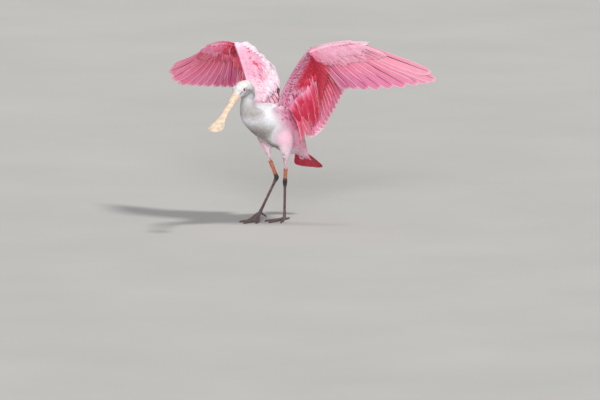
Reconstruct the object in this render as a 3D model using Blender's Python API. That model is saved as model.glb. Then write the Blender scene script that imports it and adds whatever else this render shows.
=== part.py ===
# Roseate spoonbill, life size, standing with both wings raised
# Metres, +Z up. The bird faces -Y, its left side is +X, and it stands on soles at one level.

import math

import bmesh
import bpy
from mathutils import Matrix, Vector

# Driving dimensions
MM = 0.001
GAP = 0.0003
HEAD_YAW = 9.0
BILL_LENGTH = 0.163
BILL_WAIST_WIDTH = 0.019
BILL_SPOON_WIDTH = 0.047
BILL_PITCH = 30.0
EYE_RADIUS = 0.0056
TARSUS_RADIUS = 0.0037
ANKLE_RADIUS = 0.0062
SHANK_RADIUS = 0.0056
MIDDLE_TOE = 0.078
INNER_TOE = 0.062
OUTER_TOE = 0.068
HIND_TOE = 0.032
TOE_RADIUS = 0.0040
VANE_THICKNESS = 0.0008
# Width of a long and of a short feather along its length, as a share of the widest
LONG_PROFILE = ((0.0, 0.34), (0.18, 0.74), (0.45, 0.98), (0.74, 1.0), (0.92, 0.70), (1.0, 0.16))
SHORT_PROFILE = ((0.0, 0.6), (0.40, 0.98), (0.80, 0.90), (1.0, 0.20))
PRIMARY_COUNT = 10
ARM_FEATHER_COUNT = 18
ULNA_FEATHER_COUNT = 12
TAIL_FEATHER_COUNT = 12
TAIL_FEATHER = 0.068
TAIL_SPREAD = 29.0
FOREARM_BOW = (-3.0, 8.0, 13.0)

# Where the elbow stands along the arm, how far along each wing section stands,
# and how far each reaches toward the feather tips
ELBOW_SHARE = 0.45
ARM_STATIONS = (
    (0.20, 0.34), (0.32, 0.32), (0.42, 0.30), (0.50, 0.30), (0.60, 0.28), (0.70, 0.25),
    (0.79, 0.21), (0.87, 0.15), (0.93, 0.09),
)
HAND_STATIONS = (0.08, 0.24, 0.42, 0.60, 0.78, 0.92, 1.0)
# Half thickness of the wing's flesh at the front, over the bone and behind
ARM_THICKNESS = (0.0034, 0.0105, 0.0012)
HAND_THICKNESS = (0.0030, 0.0062, 0.0011)
# Tail core sections: reach, droop, half width, half depth in millimetres
TAIL_CORE = ((0.3, 38, 25, 19), (12, 39, 24.5, 15), (24, 40, 23, 10), (36, 41, 21, 6), (46, 41, 18, 2.6))

# Wing bones and feather tips, millimetres: outward from the midline, back, up
WING = {
    "left": {
        "shoulder": (40, -50, 333),
        "elbow": (84, 73, 394),
        "wrist": (143, -51, 488),
        "lead": ((42, -62, 333), (60, -62, 366), (82, -60, 405), (112, -58, 450), (143, -54, 490)),
        "hand_end": (248, -2, 516),
        "hand_lead": ((143, -54, 490), (172, -44, 503), (208, -26, 513), (248, -4, 518)),
        "alula_tip": (299, 22, 511),
        "arm_tips": (
            (206, 36, 372), (191, 48, 364), (170, 62, 343), (146, 74, 314), (119, 85, 288),
            (95, 96, 263), (76, 104, 243), (67, 101, 233), (65, 91, 228), (62, 76, 226),
        ),
        "hand_tips": (
            (217, 38, 380), (240, 44, 381), (271, 54, 381), (304, 66, 383), (338, 79, 387),
            (372, 92, 390), (405, 105, 396), (434, 114, 400), (452, 117, 404), (440, 108, 423),
        ),
    },
    "right": {
        "shoulder": (40, -50, 333),
        "elbow": (70, 84, 390),
        "wrist": (121, -31, 487),
        "lead": ((42, -62, 333), (56, -58, 366), (73, -52, 405), (97, -43, 450), (121, -34, 489)),
        "hand_end": (226, -6, 475),
        "hand_lead": ((121, -34, 489), (152, -31, 493), (190, -20, 488), (226, -8, 477)),
        "alula_tip": (273, 14, 456),
        "arm_tips": (
            (199, 62, 350), (184, 66, 345), (165, 74, 330), (141, 82, 308), (116, 88, 284),
            (94, 96, 263), (76, 104, 243), (67, 101, 233), (66, 92, 228), (64, 77, 227),
        ),
        "hand_tips": (
            (212, 66, 351), (240, 68, 350), (268, 70, 349), (299, 70, 348), (328, 71, 347),
            (357, 72, 346), (388, 72, 345), (414, 75, 354), (432, 84, 370), (424, 88, 384),
        ),
    },
}

# Torso sections from the rump to the neck: back, up, pitch, half depth, half width in millimetres
TORSO = (
    (106, 187, 38, 19, 25), (90, 199, 35, 30, 35), (62, 217, 33, 42, 47), (22, 243, 33, 53, 58),
    (-20, 268, 33, 57, 65), (-54, 287, 35, 55, 64), (-84, 300, 42, 50, 57), (-108, 308, 52, 42, 46),
    (-126, 315, 65, 33, 35), (-139, 325, 78, 25, 27), (-145, 337, 88, 22, 22.5),
)
NECK = (
    (-145, 337.4, 88, 22, 22.5), (-145, 347, 91, 20.5, 20.5),
    (-143, 356, 92, 20, 19.5), (-141, 364, 90, 20, 19.5),
)
HEAD = (
    (-141, 364.4, 90, 20, 19.5), (-143, 373, 78, 21, 20), (-150, 381, 52, 22.5, 20.5),
    (-163, 386, 18, 23, 21), (-179, 386, -8, 22, 20.5), (-195, 381, -22, 19, 18),
    (-207, 376, -27, 15.5, 15.5), (-219, 369.5, -30, 12, 13.5),
)
HEAD_PIVOT = (0.0, -141.0)
EYE_PLACE = (14.2, -199.5, 385.5)
EYE_OUTWARD = (0.93, -0.30, 0.16)
GAPE = ((15.8, -219.5, 370.0), (17.6, -211, 374.0), (19.2, -202, 376.5))

# Leg joints, millimetres: across, back, up
LEG = {
    "left": {
        "knee": (53, -34, 256),
        "feather_end": (34.5, -9, 147),
        "ankle": (25, 1, 108),
        "toe_joint": (24, 0, 13),
    },
    "right": {
        "knee": (-50, -12, 262),
        "feather_end": (-22, -4, 165),
        "ankle": (-11, 12, 116),
        "toe_joint": (-20, -51, 30),
    },
}
THIGH_TOP = {"left": 0.0255, "right": 0.0225}
THIGH_END = 0.0070
THIGH_SECTIONS = (
    (0.0, 0.30), (0.04, 0.66), (0.12, 0.90), (0.26, 1.0), (0.42, 0.86), (0.60, 0.56),
    (0.78, 0.27), (0.93, 0.06), (1.0, 0.0),
)
# How far the front toes run down from the heel before they lie on the floor
TOE_RUN = {"left": 0.014, "right": 0.036}
# Front toes and hind toe: angle from straight ahead in degrees, length, share of the thickness
TOES = (
    (-2.0, MIDDLE_TOE, 1.0), (24.0, INNER_TOE, 0.92), (-27.0, OUTER_TOE, 0.92), (172.0, HIND_TOE, 0.8),
)
TOE_LEVEL = 0.0034


def clear_scene():
    for item in list(bpy.data.objects):
        bpy.data.objects.remove(item, do_unlink=True)


def vec(x, y, z):
    return Vector((x * MM, y * MM, z * MM))


def make_material(name, colour, roughness):
    material = bpy.data.materials.new(name)
    material.use_nodes = True
    shader = material.node_tree.nodes["Principled BSDF"]
    shader.inputs["Base Color"].default_value = (*colour, 1.0)
    shader.inputs["Roughness"].default_value = roughness
    shader.inputs["Metallic"].default_value = 0.0
    material.diffuse_color = (*colour, 1.0)
    return material


def signed_volume(verts, faces):
    total = 0.0
    for face in faces:
        first = verts[face[0]]
        for one, two in zip(face[1:-1], face[2:]):
            total += first.dot(verts[one].cross(verts[two]))
    return total / 6.0


def facing_out(shape):
    verts, faces = shape
    if signed_volume(verts, faces) < 0:
        faces = [tuple(reversed(face)) for face in faces]
    return verts, faces


def mirrored(shape):
    verts, faces = shape
    return facing_out(([Vector((-v.x, v.y, v.z)) for v in verts], faces))


def mesh_object(name, shape, material, collection=None):
    verts, faces = facing_out(shape)
    mesh = bpy.data.meshes.new(name)
    mesh.from_pydata([tuple(v) for v in verts], [], [tuple(f) for f in faces])
    mesh.materials.append(material)
    mesh.update()
    item = bpy.data.objects.new(name, mesh)
    (collection or bpy.context.scene.collection).objects.link(item)
    return item


def loft(rings):
    """A closed body through rings with the same number of points, its ends closed by flat faces."""
    count = len(rings[0])
    verts = [point for ring in rings for point in ring]
    faces = []
    for level in range(len(rings) - 1):
        low = level * count
        high = low + count
        for i in range(count):
            j = (i + 1) % count
            faces.append((low + i, low + j, high + j))
            faces.append((low + i, high + j, high + i))
    faces.append(tuple(range(count - 1, -1, -1)))
    faces.append(tuple(range((len(rings) - 1) * count, len(rings) * count)))
    return verts, faces


def ellipse(centre, across, up, half_across, half_up, count, power=2.0):
    ring = []
    for i in range(count):
        angle = 2.0 * math.pi * (i + 0.5) / count
        c = math.cos(angle)
        s = math.sin(angle)
        x = math.copysign(abs(c) ** (2.0 / power), c) * half_across
        y = math.copysign(abs(s) ** (2.0 / power), s) * half_up
        ring.append(centre + across * x + up * y)
    return ring


def tube(points, radii, side, count, squash=1.0):
    """A closed tube along points, its rings square to the run of the line."""
    rings = []
    for i, point in enumerate(points):
        before = points[max(i - 1, 0)]
        after = points[min(i + 1, len(points) - 1)]
        along = (after - before).normalized()
        across = (side - along * side.dot(along)).normalized()
        up = along.cross(across)
        rings.append(ellipse(point, across, up, radii[i], radii[i] * squash, count))
    return loft(rings)


def smooth_path(points, samples):
    """Points spread evenly over a curve that passes through the points given."""
    keys = [Vector(p) for p in points]
    out = []
    spans = len(keys) - 1
    for i in range(samples):
        place = spans * i / (samples - 1)
        span = min(int(place), spans - 1)
        t = place - span
        p0 = keys[max(span - 1, 0)]
        p1 = keys[span]
        p2 = keys[span + 1]
        p3 = keys[min(span + 2, spans)]
        square = (2 * p0 - 5 * p1 + 4 * p2 - p3) * t * t
        cube = (3 * p1 - p0 - 3 * p2 + p3) * t ** 3
        out.append(0.5 * (2 * p1 + (p2 - p0) * t + square + cube))
    return out


def body_ring(section, count, turned=False):
    back, height, pitch, half_depth, half_width = section
    angle = math.radians(pitch)
    centre = vec(0, back, height)
    up = Vector((0.0, math.sin(angle), math.cos(angle)))
    across = Vector((1.0, 0.0, 0.0))
    ring = ellipse(centre, across, up, half_width * MM, half_depth * MM, count)
    return with_head(ring) if turned else ring


def with_head(ring):
    """Points turned with the head, about the upright axis of the neck."""
    pivot = vec(*HEAD_PIVOT, 0)
    turn = Matrix.Rotation(math.radians(HEAD_YAW), 3, "Z")
    return [turn @ (p - pivot) + pivot for p in ring]


def joined(item, solver, operation, pieces):
    """The object's mesh after one Boolean with the pieces, which are then removed."""
    helpers = bpy.data.collections.new(item.name + "_pieces")
    bpy.context.scene.collection.children.link(helpers)
    for i, shape in enumerate(pieces):
        mesh_object(f"{item.name}_piece_{i}", shape, item.data.materials[0], helpers)
    boolean = item.modifiers.new("Join", "BOOLEAN")
    boolean.operation = operation
    boolean.operand_type = "COLLECTION"
    boolean.collection = helpers
    boolean.solver = solver
    view = bpy.context.evaluated_depsgraph_get()
    result = bpy.data.meshes.new_from_object(item.evaluated_get(view))
    item.modifiers.clear()
    for helper in list(helpers.objects):
        bpy.data.objects.remove(helper, do_unlink=True)
    bpy.data.collections.remove(helpers)
    return result


def keep_largest(mesh):
    """Only the largest closed surface stays, so a loose chip left by a Boolean goes."""
    work = bmesh.new()
    work.from_mesh(mesh)
    work.verts.ensure_lookup_table()
    seen = set()
    groups = []
    for start in work.verts:
        if start in seen:
            continue
        group = []
        stack = [start]
        seen.add(start)
        while stack:
            vert = stack.pop()
            group.append(vert)
            for edge in vert.link_edges:
                other = edge.other_vert(vert)
                if other not in seen:
                    seen.add(other)
                    stack.append(other)
        groups.append(group)
    groups.sort(key=len, reverse=True)
    for group in groups[1:]:
        bmesh.ops.delete(work, geom=group, context="VERTS")
    bmesh.ops.triangulate(work, faces=work.faces[:])
    work.to_mesh(mesh)
    work.free()
    mesh.update()


def closed(mesh):
    work = bmesh.new()
    work.from_mesh(mesh)
    good = len(work.verts) > 3 and all(edge.is_manifold for edge in work.edges)
    work.free()
    return good


def combine(item, pieces, operation="UNION"):
    for solver in ("EXACT", "MANIFOLD"):
        result = joined(item, solver, operation, pieces)
        if closed(result):
            break
    old = item.data
    item.data = result
    name = item.name
    bpy.data.meshes.remove(old)
    item.data.name = name
    keep_largest(item.data)
    return item


def torso_node(material):
    rings = [body_ring(section, 24) for section in TORSO]
    item = mesh_object("torso", loft(rings), material)
    stubs = []
    for side in ("left", "right"):
        root = wing_root(side)
        inward = Vector((-0.026 if side == "left" else 0.026, 0.0, -0.016))
        stubs.append(loft([[p + inward for p in root], root]))
    combine(item, stubs)
    return combine(item, [thigh_shape(side, GAP * 1.3) for side in ("left", "right")], "DIFFERENCE")


def thigh_shape(side, grow=0.0):
    """The feathered upper leg, from inside the flank down to where the skin is bare."""
    knee = vec(*LEG[side]["knee"])
    low = vec(*LEG[side]["feather_end"])
    along = (low - knee).normalized()
    axes = frame_of(along)
    wide = THIGH_TOP[side]
    rings = []
    for share, radius in THIGH_SECTIONS:
        size = THIGH_END + (wide - THIGH_END) * radius + grow
        place = knee.lerp(low, share)
        if share == 0.0:
            place = place - along * grow
        if share == 1.0:
            place = place + along * grow
        rings.append(ellipse(place, *axes, size, size, 16))
    return loft(rings)


def leg_nodes(side, skin, feather, dark):
    knee = vec(*LEG[side]["knee"])
    low = vec(*LEG[side]["feather_end"])
    ankle = vec(*LEG[side]["ankle"])
    joint = vec(*LEG[side]["toe_joint"])
    mesh_object(f"thigh_{side}", thigh_shape(side), feather)

    along = (ankle - low).normalized()
    across = (Vector((1.0, 0.0, 0.0)) - along * along.x).normalized()
    up = along.cross(across)
    start = low + (low - knee).normalized() * GAP
    first = ellipse(start, *frame_of((low - knee).normalized()), 0.0060, 0.0060, 12)
    rings = [first]
    shank_end = ankle - along * 0.009
    for share, radius in ((0.25, SHANK_RADIUS), (0.7, SHANK_RADIUS * 0.93), (1.0, SHANK_RADIUS)):
        rings.append(ellipse(start.lerp(shank_end, share), across, up, radius, radius, 12))
    mesh_object(f"shank_{side}", loft(rings), skin)

    down = (joint - ankle).normalized()
    rings = [ellipse(shank_end + along * GAP, across, up, SHANK_RADIUS, SHANK_RADIUS, 12)]
    rings.append(ellipse(ankle - along * 0.004, across, up, ANKLE_RADIUS, ANKLE_RADIUS * 1.05, 12))
    bend = (along + down).normalized()
    rings.append(ellipse(ankle, *frame_of(bend), ANKLE_RADIUS * 1.02, ANKLE_RADIUS * 1.12, 12))
    side_axes = frame_of(down)
    rings.append(ellipse(ankle + down * 0.0055, *side_axes, ANKLE_RADIUS * 0.95, ANKLE_RADIUS, 12))
    length = (joint - ankle).length
    for share, swell in ((0.14, 1.12), (0.25, 0.97), (0.6, 0.95), (0.88, 1.0), (1.0, 1.18)):
        radius = swell * TARSUS_RADIUS
        rings.append(ellipse(ankle + down * length * share, *side_axes, radius, radius * 1.1, 12))
    mesh_object(f"tarsus_{side}", loft(rings), dark)
    foot_node(side, joint, down, dark)


def frame_of(along):
    across = (Vector((1.0, 0.0, 0.0)) - along * along.x).normalized()
    return across, along.cross(across)


def foot_node(side, joint, down, material):
    out = 1.0 if side == "left" else -1.0
    start = joint + down * GAP
    radius = TARSUS_RADIUS * 1.18
    heel = start + down * 0.006
    if side == "left":
        heel = Vector((start.x, start.y - 0.001, 0.0058))
    axes = frame_of(down)
    rings = [ellipse(start, *axes, radius, radius * 1.1, 12)]
    rings.append(ellipse(start.lerp(heel, 0.6), *axes, radius * 1.15, radius * 1.25, 12))
    rings.append(ellipse(heel, *axes, radius * 0.85, radius * 0.9, 12))
    item = mesh_object(f"foot_{side}", loft(rings), material)
    pieces = []
    for angle, length, thick in TOES:
        swing = math.radians(angle) * -out
        ahead = Vector((math.sin(swing), -math.cos(swing), 0.0))
        if angle > 90 and side == "right":
            pieces.append(raised_toe(heel, ahead))
        else:
            run = 0.012 if angle > 90 else TOE_RUN[side]
            pieces.append(lying_toe(heel, ahead, length, run, TOE_RADIUS * thick))
    combine(item, pieces + webs(side, heel, out))
    corners = ((-0.2, -0.3), (0.2, -0.3), (0.2, 0.2), (-0.2, 0.2))
    below = [Vector((x, y, z)) for z in (-0.02, 0.0) for x, y in corners]
    sides = [(0, 1, 2, 3), (4, 5, 6, 7), (0, 1, 5, 4), (1, 2, 6, 5), (2, 3, 7, 6), (3, 0, 4, 7)]
    combine(item, [mesh_to_outward((below, sides))], "DIFFERENCE")


def raised_toe(heel, ahead):
    """The hind toe of the right foot, which hangs from its raised heel."""
    end = heel + ahead * 0.027 - Vector((0.0, 0.0, 0.016))
    points = [heel, heel.lerp(end, 0.35), heel.lerp(end, 0.8), end]
    radii = [TOE_RADIUS * share for share in (0.9, 0.8, 0.6, 0.2)]
    return tube(points, radii, ahead.cross(Vector((0.0, 0.0, 1.0))), 8)


def lying_toe(heel, ahead, length, run, radius):
    """A toe that comes down from the heel and lies on the floor, flattened a little."""
    drop = heel.z - TOE_LEVEL
    down = Vector((0.0, 0.0, drop))
    flat = math.sqrt(max(length * length - drop * drop, 1e-8))
    ground = heel + ahead * min(run, flat * 0.5) - down
    tip = heel + ahead * flat - down
    points = [heel + ahead * 0.001, heel.lerp(ground, 0.5) + down * 0.12, ground]
    points += [ground.lerp(tip, share) for share in (0.30, 0.62, 0.84)] + [tip]
    radii = [radius * share for share in (1.0, 1.02, 1.05, 0.98, 0.95, 0.75, 0.25)]
    for i in range(2, len(points)):
        points[i].z = radii[i] * 0.95 * 0.86
    return tube(points, radii, ahead.cross(Vector((0.0, 0.0, 1.0))), 8, 0.95)


def mesh_to_outward(shape):
    verts, faces = shape
    mesh = bpy.data.meshes.new("box")
    mesh.from_pydata([tuple(v) for v in verts], [], faces)
    work = bmesh.new()
    work.from_mesh(mesh)
    bmesh.ops.recalc_face_normals(work, faces=work.faces[:])
    bmesh.ops.triangulate(work, faces=work.faces[:])
    work.verts.ensure_lookup_table()
    out = ([v.co.copy() for v in work.verts], [tuple(v.index for v in f.verts) for f in work.faces])
    work.free()
    bpy.data.meshes.remove(mesh)
    return out


def webs(side, heel, out):
    """The short web between the front toes."""
    pieces = []
    down = Vector((0.0, 0.0, heel.z - TOE_LEVEL))
    for one, two in ((-2.0, 24.0), (-27.0, -2.0)):
        points = []
        for angle in (one, two):
            swing = math.radians(angle) * -out
            ahead = Vector((math.sin(swing), -math.cos(swing), 0.0))
            points.append(heel + ahead * (TOE_RUN[side] + 0.011) - down)
        middle = points[0].lerp(points[1], 0.5).lerp(heel - down, 0.22)
        lower = Vector((0.0, 0.0, 0.0011))
        corners = [heel, points[0], middle, points[1]]
        verts = [p + lower for p in corners] + [p - lower for p in corners]
        faces = [(0, 1, 2), (0, 2, 3), (6, 5, 4), (7, 6, 4)]
        faces += [(0, 4, 5, 1), (1, 5, 6, 2), (2, 6, 7, 3), (3, 7, 4, 0)]
        pieces.append(mesh_to_outward((verts, faces)))
    return pieces


def bill_nodes(material):
    pitch = math.radians(-BILL_PITCH)
    back, height = HEAD[-1][:2]
    base = vec(0, back, height)
    forward = Vector((0.0, -math.cos(pitch), math.sin(pitch)))
    up = Vector((0.0, math.sin(pitch), math.cos(pitch)))
    base = base + forward * GAP
    across = Vector((1.0, 0.0, 0.0))
    waist = BILL_WAIST_WIDTH / 2
    spoon = BILL_SPOON_WIDTH / 2
    first = HEAD[-1][4] * MM
    # Share of the length, half width, depth of the upper and the lower half, sag
    stations = (
        (0.0, first, 0.0120, 0.0120, 0.0),
        (0.07, first * 0.95, 0.0108, 0.0100, 0.0),
        (0.18, 0.0112, 0.0086, 0.0076, 0.0),
        (0.34, waist * 1.03, 0.0062, 0.0054, -0.0010),
        (0.50, waist, 0.0047, 0.0040, -0.0022),
        (0.62, waist * 1.15, 0.0039, 0.0034, -0.0030),
        (0.72, spoon * 0.70, 0.0034, 0.0030, -0.0034),
        (0.80, spoon * 0.92, 0.0031, 0.0027, -0.0034),
        (0.88, spoon, 0.0028, 0.0025, -0.0030),
        (0.94, spoon * 0.90, 0.0026, 0.0023, -0.0028),
        (0.98, spoon * 0.62, 0.0024, 0.0021, -0.0030),
        (1.0, spoon * 0.22, 0.0020, 0.0017, -0.0036),
    )
    for name, sign in (("bill_upper", 1.0), ("bill_lower", -1.0)):
        rings = []
        for share, half, high, low, sag in stations:
            centre = base + forward * BILL_LENGTH * share + up * sag
            depth = high if sign > 0 else low
            ring = []
            arc = 9
            for i in range(arc):
                a = math.pi * i / (arc - 1)
                lift = GAP / 2 + (depth - GAP / 2) * math.sin(a) ** 0.8 if 0 < i < arc - 1 else GAP / 2
                ring.append(centre + across * half * math.cos(a) + up * sign * lift)
            rim = max(0.0006, depth * 0.16)
            ring[0] += up * sign * rim
            ring[-1] += up * sign * rim
            ring.append(centre - across * half * 0.97 + up * sign * GAP / 2)
            ring.append(centre + up * sign * GAP / 2)
            ring.append(centre + across * half * 0.97 + up * sign * GAP / 2)
            rings.append(with_head(ring))
        item = mesh_object(name, loft(rings), material)
        if sign > 0:
            cuts = []
            for hand in (1.0, -1.0):
                place = base + forward * 0.017 + up * 0.0096 + across * hand * 0.0052
                reach = forward * 0.0065
                middle = place - reach * 0.5 + up * 0.0002
                points = [place - reach, middle, place + reach * 0.5, place + reach]
                verts, faces = tube(points, [0.0005, 0.0012, 0.0012, 0.0004], across, 8)
                cuts.append((with_head(verts), faces))
            combine(item, cuts, "DIFFERENCE")


def head_node(material, eye_material):
    rings = [body_ring(section, 24, True) for section in HEAD]
    item = mesh_object("head", loft(rings), material)
    turn = Matrix.Rotation(math.radians(HEAD_YAW), 3, "Z")
    lids = []
    sockets = []
    for side, hand in (("left", 1.0), ("right", -1.0)):
        across, back, height = EYE_PLACE
        centre = with_head([vec(hand * across, back, height)])[0]
        across, back, height = EYE_OUTWARD
        outward = turn @ Vector((hand * across, back, height)).normalized()
        lids.append(torus(centre + outward * 0.0030, outward, EYE_RADIUS * 0.92, 0.0014))
        sockets.append(ball(centre, EYE_RADIUS + GAP, 12, 7, outward))
        mesh_object(f"eye_{side}", ball(centre, EYE_RADIUS, 12, 7, outward), eye_material)
    combine(item, lids)
    mouth = []
    for hand in (1.0, -1.0):
        points = with_head([vec(hand * across, back, height) for across, back, height in GAPE])
        mouth.append(tube(points, [0.0016, 0.0014, 0.0005], Vector((1.0, 0.0, 0.0)), 6))
    combine(item, sockets + mouth, "DIFFERENCE")
    return item


def ball(centre, radius, around, levels, axis):
    across, up = any_frame(axis)
    verts = [centre + axis * radius]
    for i in range(1, levels):
        a = math.pi * i / levels
        for k in range(around):
            b = 2 * math.pi * k / around
            away = across * math.cos(b) + up * math.sin(b)
            verts.append(centre + axis * radius * math.cos(a) + away * radius * math.sin(a))
    verts.append(centre - axis * radius)
    faces = []
    for k in range(around):
        n = (k + 1) % around
        faces.append((0, 1 + k, 1 + n))
        for i in range(levels - 2):
            low = 1 + i * around
            faces.append((low + k, low + around + k, low + around + n))
            faces.append((low + k, low + around + n, low + n))
        low = 1 + (levels - 2) * around
        faces.append((low + k, len(verts) - 1, low + n))
    return verts, faces


def torus(centre, axis, major, minor):
    across, up = any_frame(axis)
    verts = []
    for k in range(16):
        b = 2 * math.pi * k / 16
        away = across * math.cos(b) + up * math.sin(b)
        for i in range(6):
            a = 2 * math.pi * i / 6
            verts.append(centre + away * (major + minor * math.cos(a)) + axis * minor * math.sin(a))
    faces = []
    for k in range(16):
        for i in range(6):
            one = k * 6 + i
            two = k * 6 + (i + 1) % 6
            three = ((k + 1) % 16) * 6 + (i + 1) % 6
            four = ((k + 1) % 16) * 6 + i
            faces.append((one, two, three))
            faces.append((one, three, four))
    return verts, faces


def any_frame(axis):
    helper = Vector((0.0, 0.0, 1.0)) if abs(axis.z) < 0.9 else Vector((0.0, 1.0, 0.0))
    across = axis.cross(helper).normalized()
    return across, axis.cross(across)


def vane(root, tip, normal, lead, trail, bow, sweep, tilt, profile=LONG_PROFILE):
    """A flat tapered feather. Lead is the side toward the wing tip, tilted up like a shingle."""
    reach = tip - root
    length = reach.length
    along = reach.normalized()
    up = (normal - along * normal.dot(along)).normalized()
    across = along.cross(up)
    lean = math.radians(tilt)
    side = across * math.cos(lean) + up * math.sin(lean)
    rise = up * math.cos(lean) - across * math.sin(lean)
    rings = []
    for share, wide in profile:
        arch = 4.0 * share * (1.0 - share)
        centre = root + reach * share + (up * bow + across * sweep) * length * arch
        half = VANE_THICKNESS * (0.5 - 0.22 * share)
        one = centre + side * lead * wide
        two = centre - side * trail * wide
        rings.append([one + rise * half, two + rise * half, two - rise * half, one - rise * half])
    return loft(rings)


def wing_bones(side):
    data = WING[side]
    return [vec(*data[key]) for key in ("shoulder", "elbow", "wrist", "hand_end")]


def forearm_point(side, share):
    """A place on the forearm's upper ridge, from the wrist at 0 to the elbow at 1."""
    elbow, wrist = wing_bones(side)[1:3]
    return wrist.lerp(elbow, share) + vec(*FOREARM_BOW) * (4.0 * share * (1.0 - share)) ** 0.7


def feather_lines(side):
    """Roots, tips and upper sides of the flight feathers, from the outermost primary inward."""
    data = WING[side]
    shoulder, elbow, wrist, hand_end = wing_bones(side)
    hand_tips = [vec(*p) for p in data["hand_tips"]]
    arm_tips = smooth_path([vec(*p) for p in data["arm_tips"]], ARM_FEATHER_COUNT)
    roots = []
    for i in range(PRIMARY_COUNT):
        place = wrist.lerp(hand_end, 0.08 + 0.88 * i / (PRIMARY_COUNT - 1))
        roots.append(place + (hand_tips[i] - place).normalized() * 0.006)
    roots.reverse()
    for i in range(ULNA_FEATHER_COUNT):
        roots.append(forearm_point(side, 0.14 + 0.86 * i / (ULNA_FEATHER_COUNT - 1)))
    rest = ARM_FEATHER_COUNT - ULNA_FEATHER_COUNT
    for i in range(1, rest + 1):
        roots.append(elbow.lerp(shoulder, 0.70 * i / rest) + vec(0.9 * i, 0, 0))
    tips = list(reversed(hand_tips)) + arm_tips
    normals = []
    last = len(roots) - 1
    for i in range(len(roots)):
        one = max(i - 1, 0)
        two = min(i + 1, last)
        outward = (roots[one] - roots[two]) + (tips[one] - tips[two])
        normals.append(outward.cross(tips[i] - roots[i]).normalized())
    for _ in range(4):
        padded = [normals[0]] + normals + [normals[-1]]
        normals = [(padded[i] + padded[i + 1] * 2 + padded[i + 2]).normalized() for i in range(last + 1)]
    return roots, tips, normals


def wing_root(side):
    """The oval where the wing meets the body, in the order of the wing's own rings."""
    lead = vec(46, -64, 336)
    rear = vec(50, 8, 315)
    middle = lead.lerp(rear, 0.5)
    chord = (rear - lead) * 0.5
    normal = Vector((-0.5, 0.32, 0.72))
    normal = (normal - chord.normalized() * normal.dot(chord.normalized())).normalized()
    half = 0.0145
    upper = [(-0.96, 0.32), (-0.55, 0.86), (-0.05, 1.0), (0.5, 0.84), (0.95, 0.34)]
    ring = [middle + chord * along + normal * half * lift for along, lift in upper]
    ring += [middle + chord * along - normal * half * lift for along, lift in reversed(upper)]
    if side == "right":
        ring = [Vector((-p.x, p.y, p.z)) for p in ring]
    return ring


def wing_ring(front, bone, rear, normals, thickness):
    """One section of a wing. Normals and half thickness are given before, on and behind the bone."""
    ahead, on, behind = normals
    thick_front, thick_bone, thick_rear = thickness
    places = [front, front.lerp(bone, 0.5), bone, bone.lerp(rear, 0.5), rear]
    ups = [ahead * thick_front, ahead * (thick_front + thick_bone) * 0.5, on * thick_bone]
    ups += [behind * (thick_bone + thick_rear) * 0.5, behind * thick_rear]
    downs = [1.0, 0.72, 0.7, 0.72, 1.0]
    top = [place + up for place, up in zip(places, ups)]
    low = [place - up * share for place, up, share in zip(places, ups, downs)]
    return top + low[::-1]


def at_place(points, place):
    place = min(max(place, 0.0), len(points) - 1.0)
    low = min(int(place), len(points) - 2)
    return points[low].lerp(points[low + 1], place - low)


def arm_rings(side):
    shoulder, elbow = wing_bones(side)[:2]
    lead = [vec(*p) for p in WING[side]["lead"]]
    arm_tips = feather_lines(side)[1][PRIMARY_COUNT:]
    stations = []
    for share, span in ARM_STATIONS:
        front = at_place(smooth_path(lead, 41), share * 40)
        if share < ELBOW_SHARE:
            bone = shoulder.lerp(elbow, (share / ELBOW_SHARE) ** 0.9)
            inner = (ARM_FEATHER_COUNT - ULNA_FEATHER_COUNT) * max(0.0, share - 0.1) / 0.35
            place = ARM_FEATHER_COUNT - 1 - inner
        else:
            back = 1.0 - (share - ELBOW_SHARE) / (1.0 - ELBOW_SHARE)
            bone = forearm_point(side, back)
            place = (back - 0.14) / 0.86 * (ULNA_FEATHER_COUNT - 1)
        stations.append((front, bone, bone.lerp(at_place(arm_tips, place), span)))
    root = wing_root("left")
    outward = Vector((0.8, 0.0, 0.6))
    rings = [[p + outward * GAP * 1.6 for p in root], [p + outward * 0.008 for p in root]]
    for i, (front, bone, rear) in enumerate(stations):
        after = stations[min(i + 1, len(stations) - 1)]
        before = stations[max(i - 1, 0)]
        front_run = (after[0] - before[0]) + (after[1] - before[1])
        rear_run = (after[1] - before[1]) + (after[2] - before[2])
        ahead = front_run.cross(bone - front).normalized()
        behind = rear_run.cross(rear - bone).normalized()
        on = (ahead + behind).normalized()
        if i > len(stations) - 3:
            on = front_run.cross(rear - front).normalized()
            ahead = on
            behind = on
        thick_front, thick_bone, thick_rear = ARM_THICKNESS
        thick = thick_bone - 0.0045 * i / (len(stations) - 1)
        rings.append(wing_ring(front, bone, rear, (ahead, on, behind), (thick_front, thick, thick_rear)))
    return rings


def hand_rings(side, first):
    wrist, hand_end = wing_bones(side)[2:]
    hand_tips = [vec(*p) for p in WING[side]["hand_tips"]]
    fronts = smooth_path([vec(*p) for p in WING[side]["hand_lead"]], 21)
    rings = [first]
    thick_front, thick_bone, thick_rear = HAND_THICKNESS
    for share in HAND_STATIONS:
        front = at_place(fronts, share * 20)
        tip = at_place(hand_tips, share * 9)
        bone = wrist.lerp(hand_end, share)
        bone = bone + (tip - bone).normalized() * 0.008
        rear = bone.lerp(tip, 0.15)
        normal = (hand_end - wrist).cross(rear - front).normalized()
        scale = 1.0 - 0.45 * share
        thickness = (thick_front * scale, thick_bone * scale, thick_rear)
        rings.append(wing_ring(front, bone, rear, (normal, normal, normal), thickness))
    return rings


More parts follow.
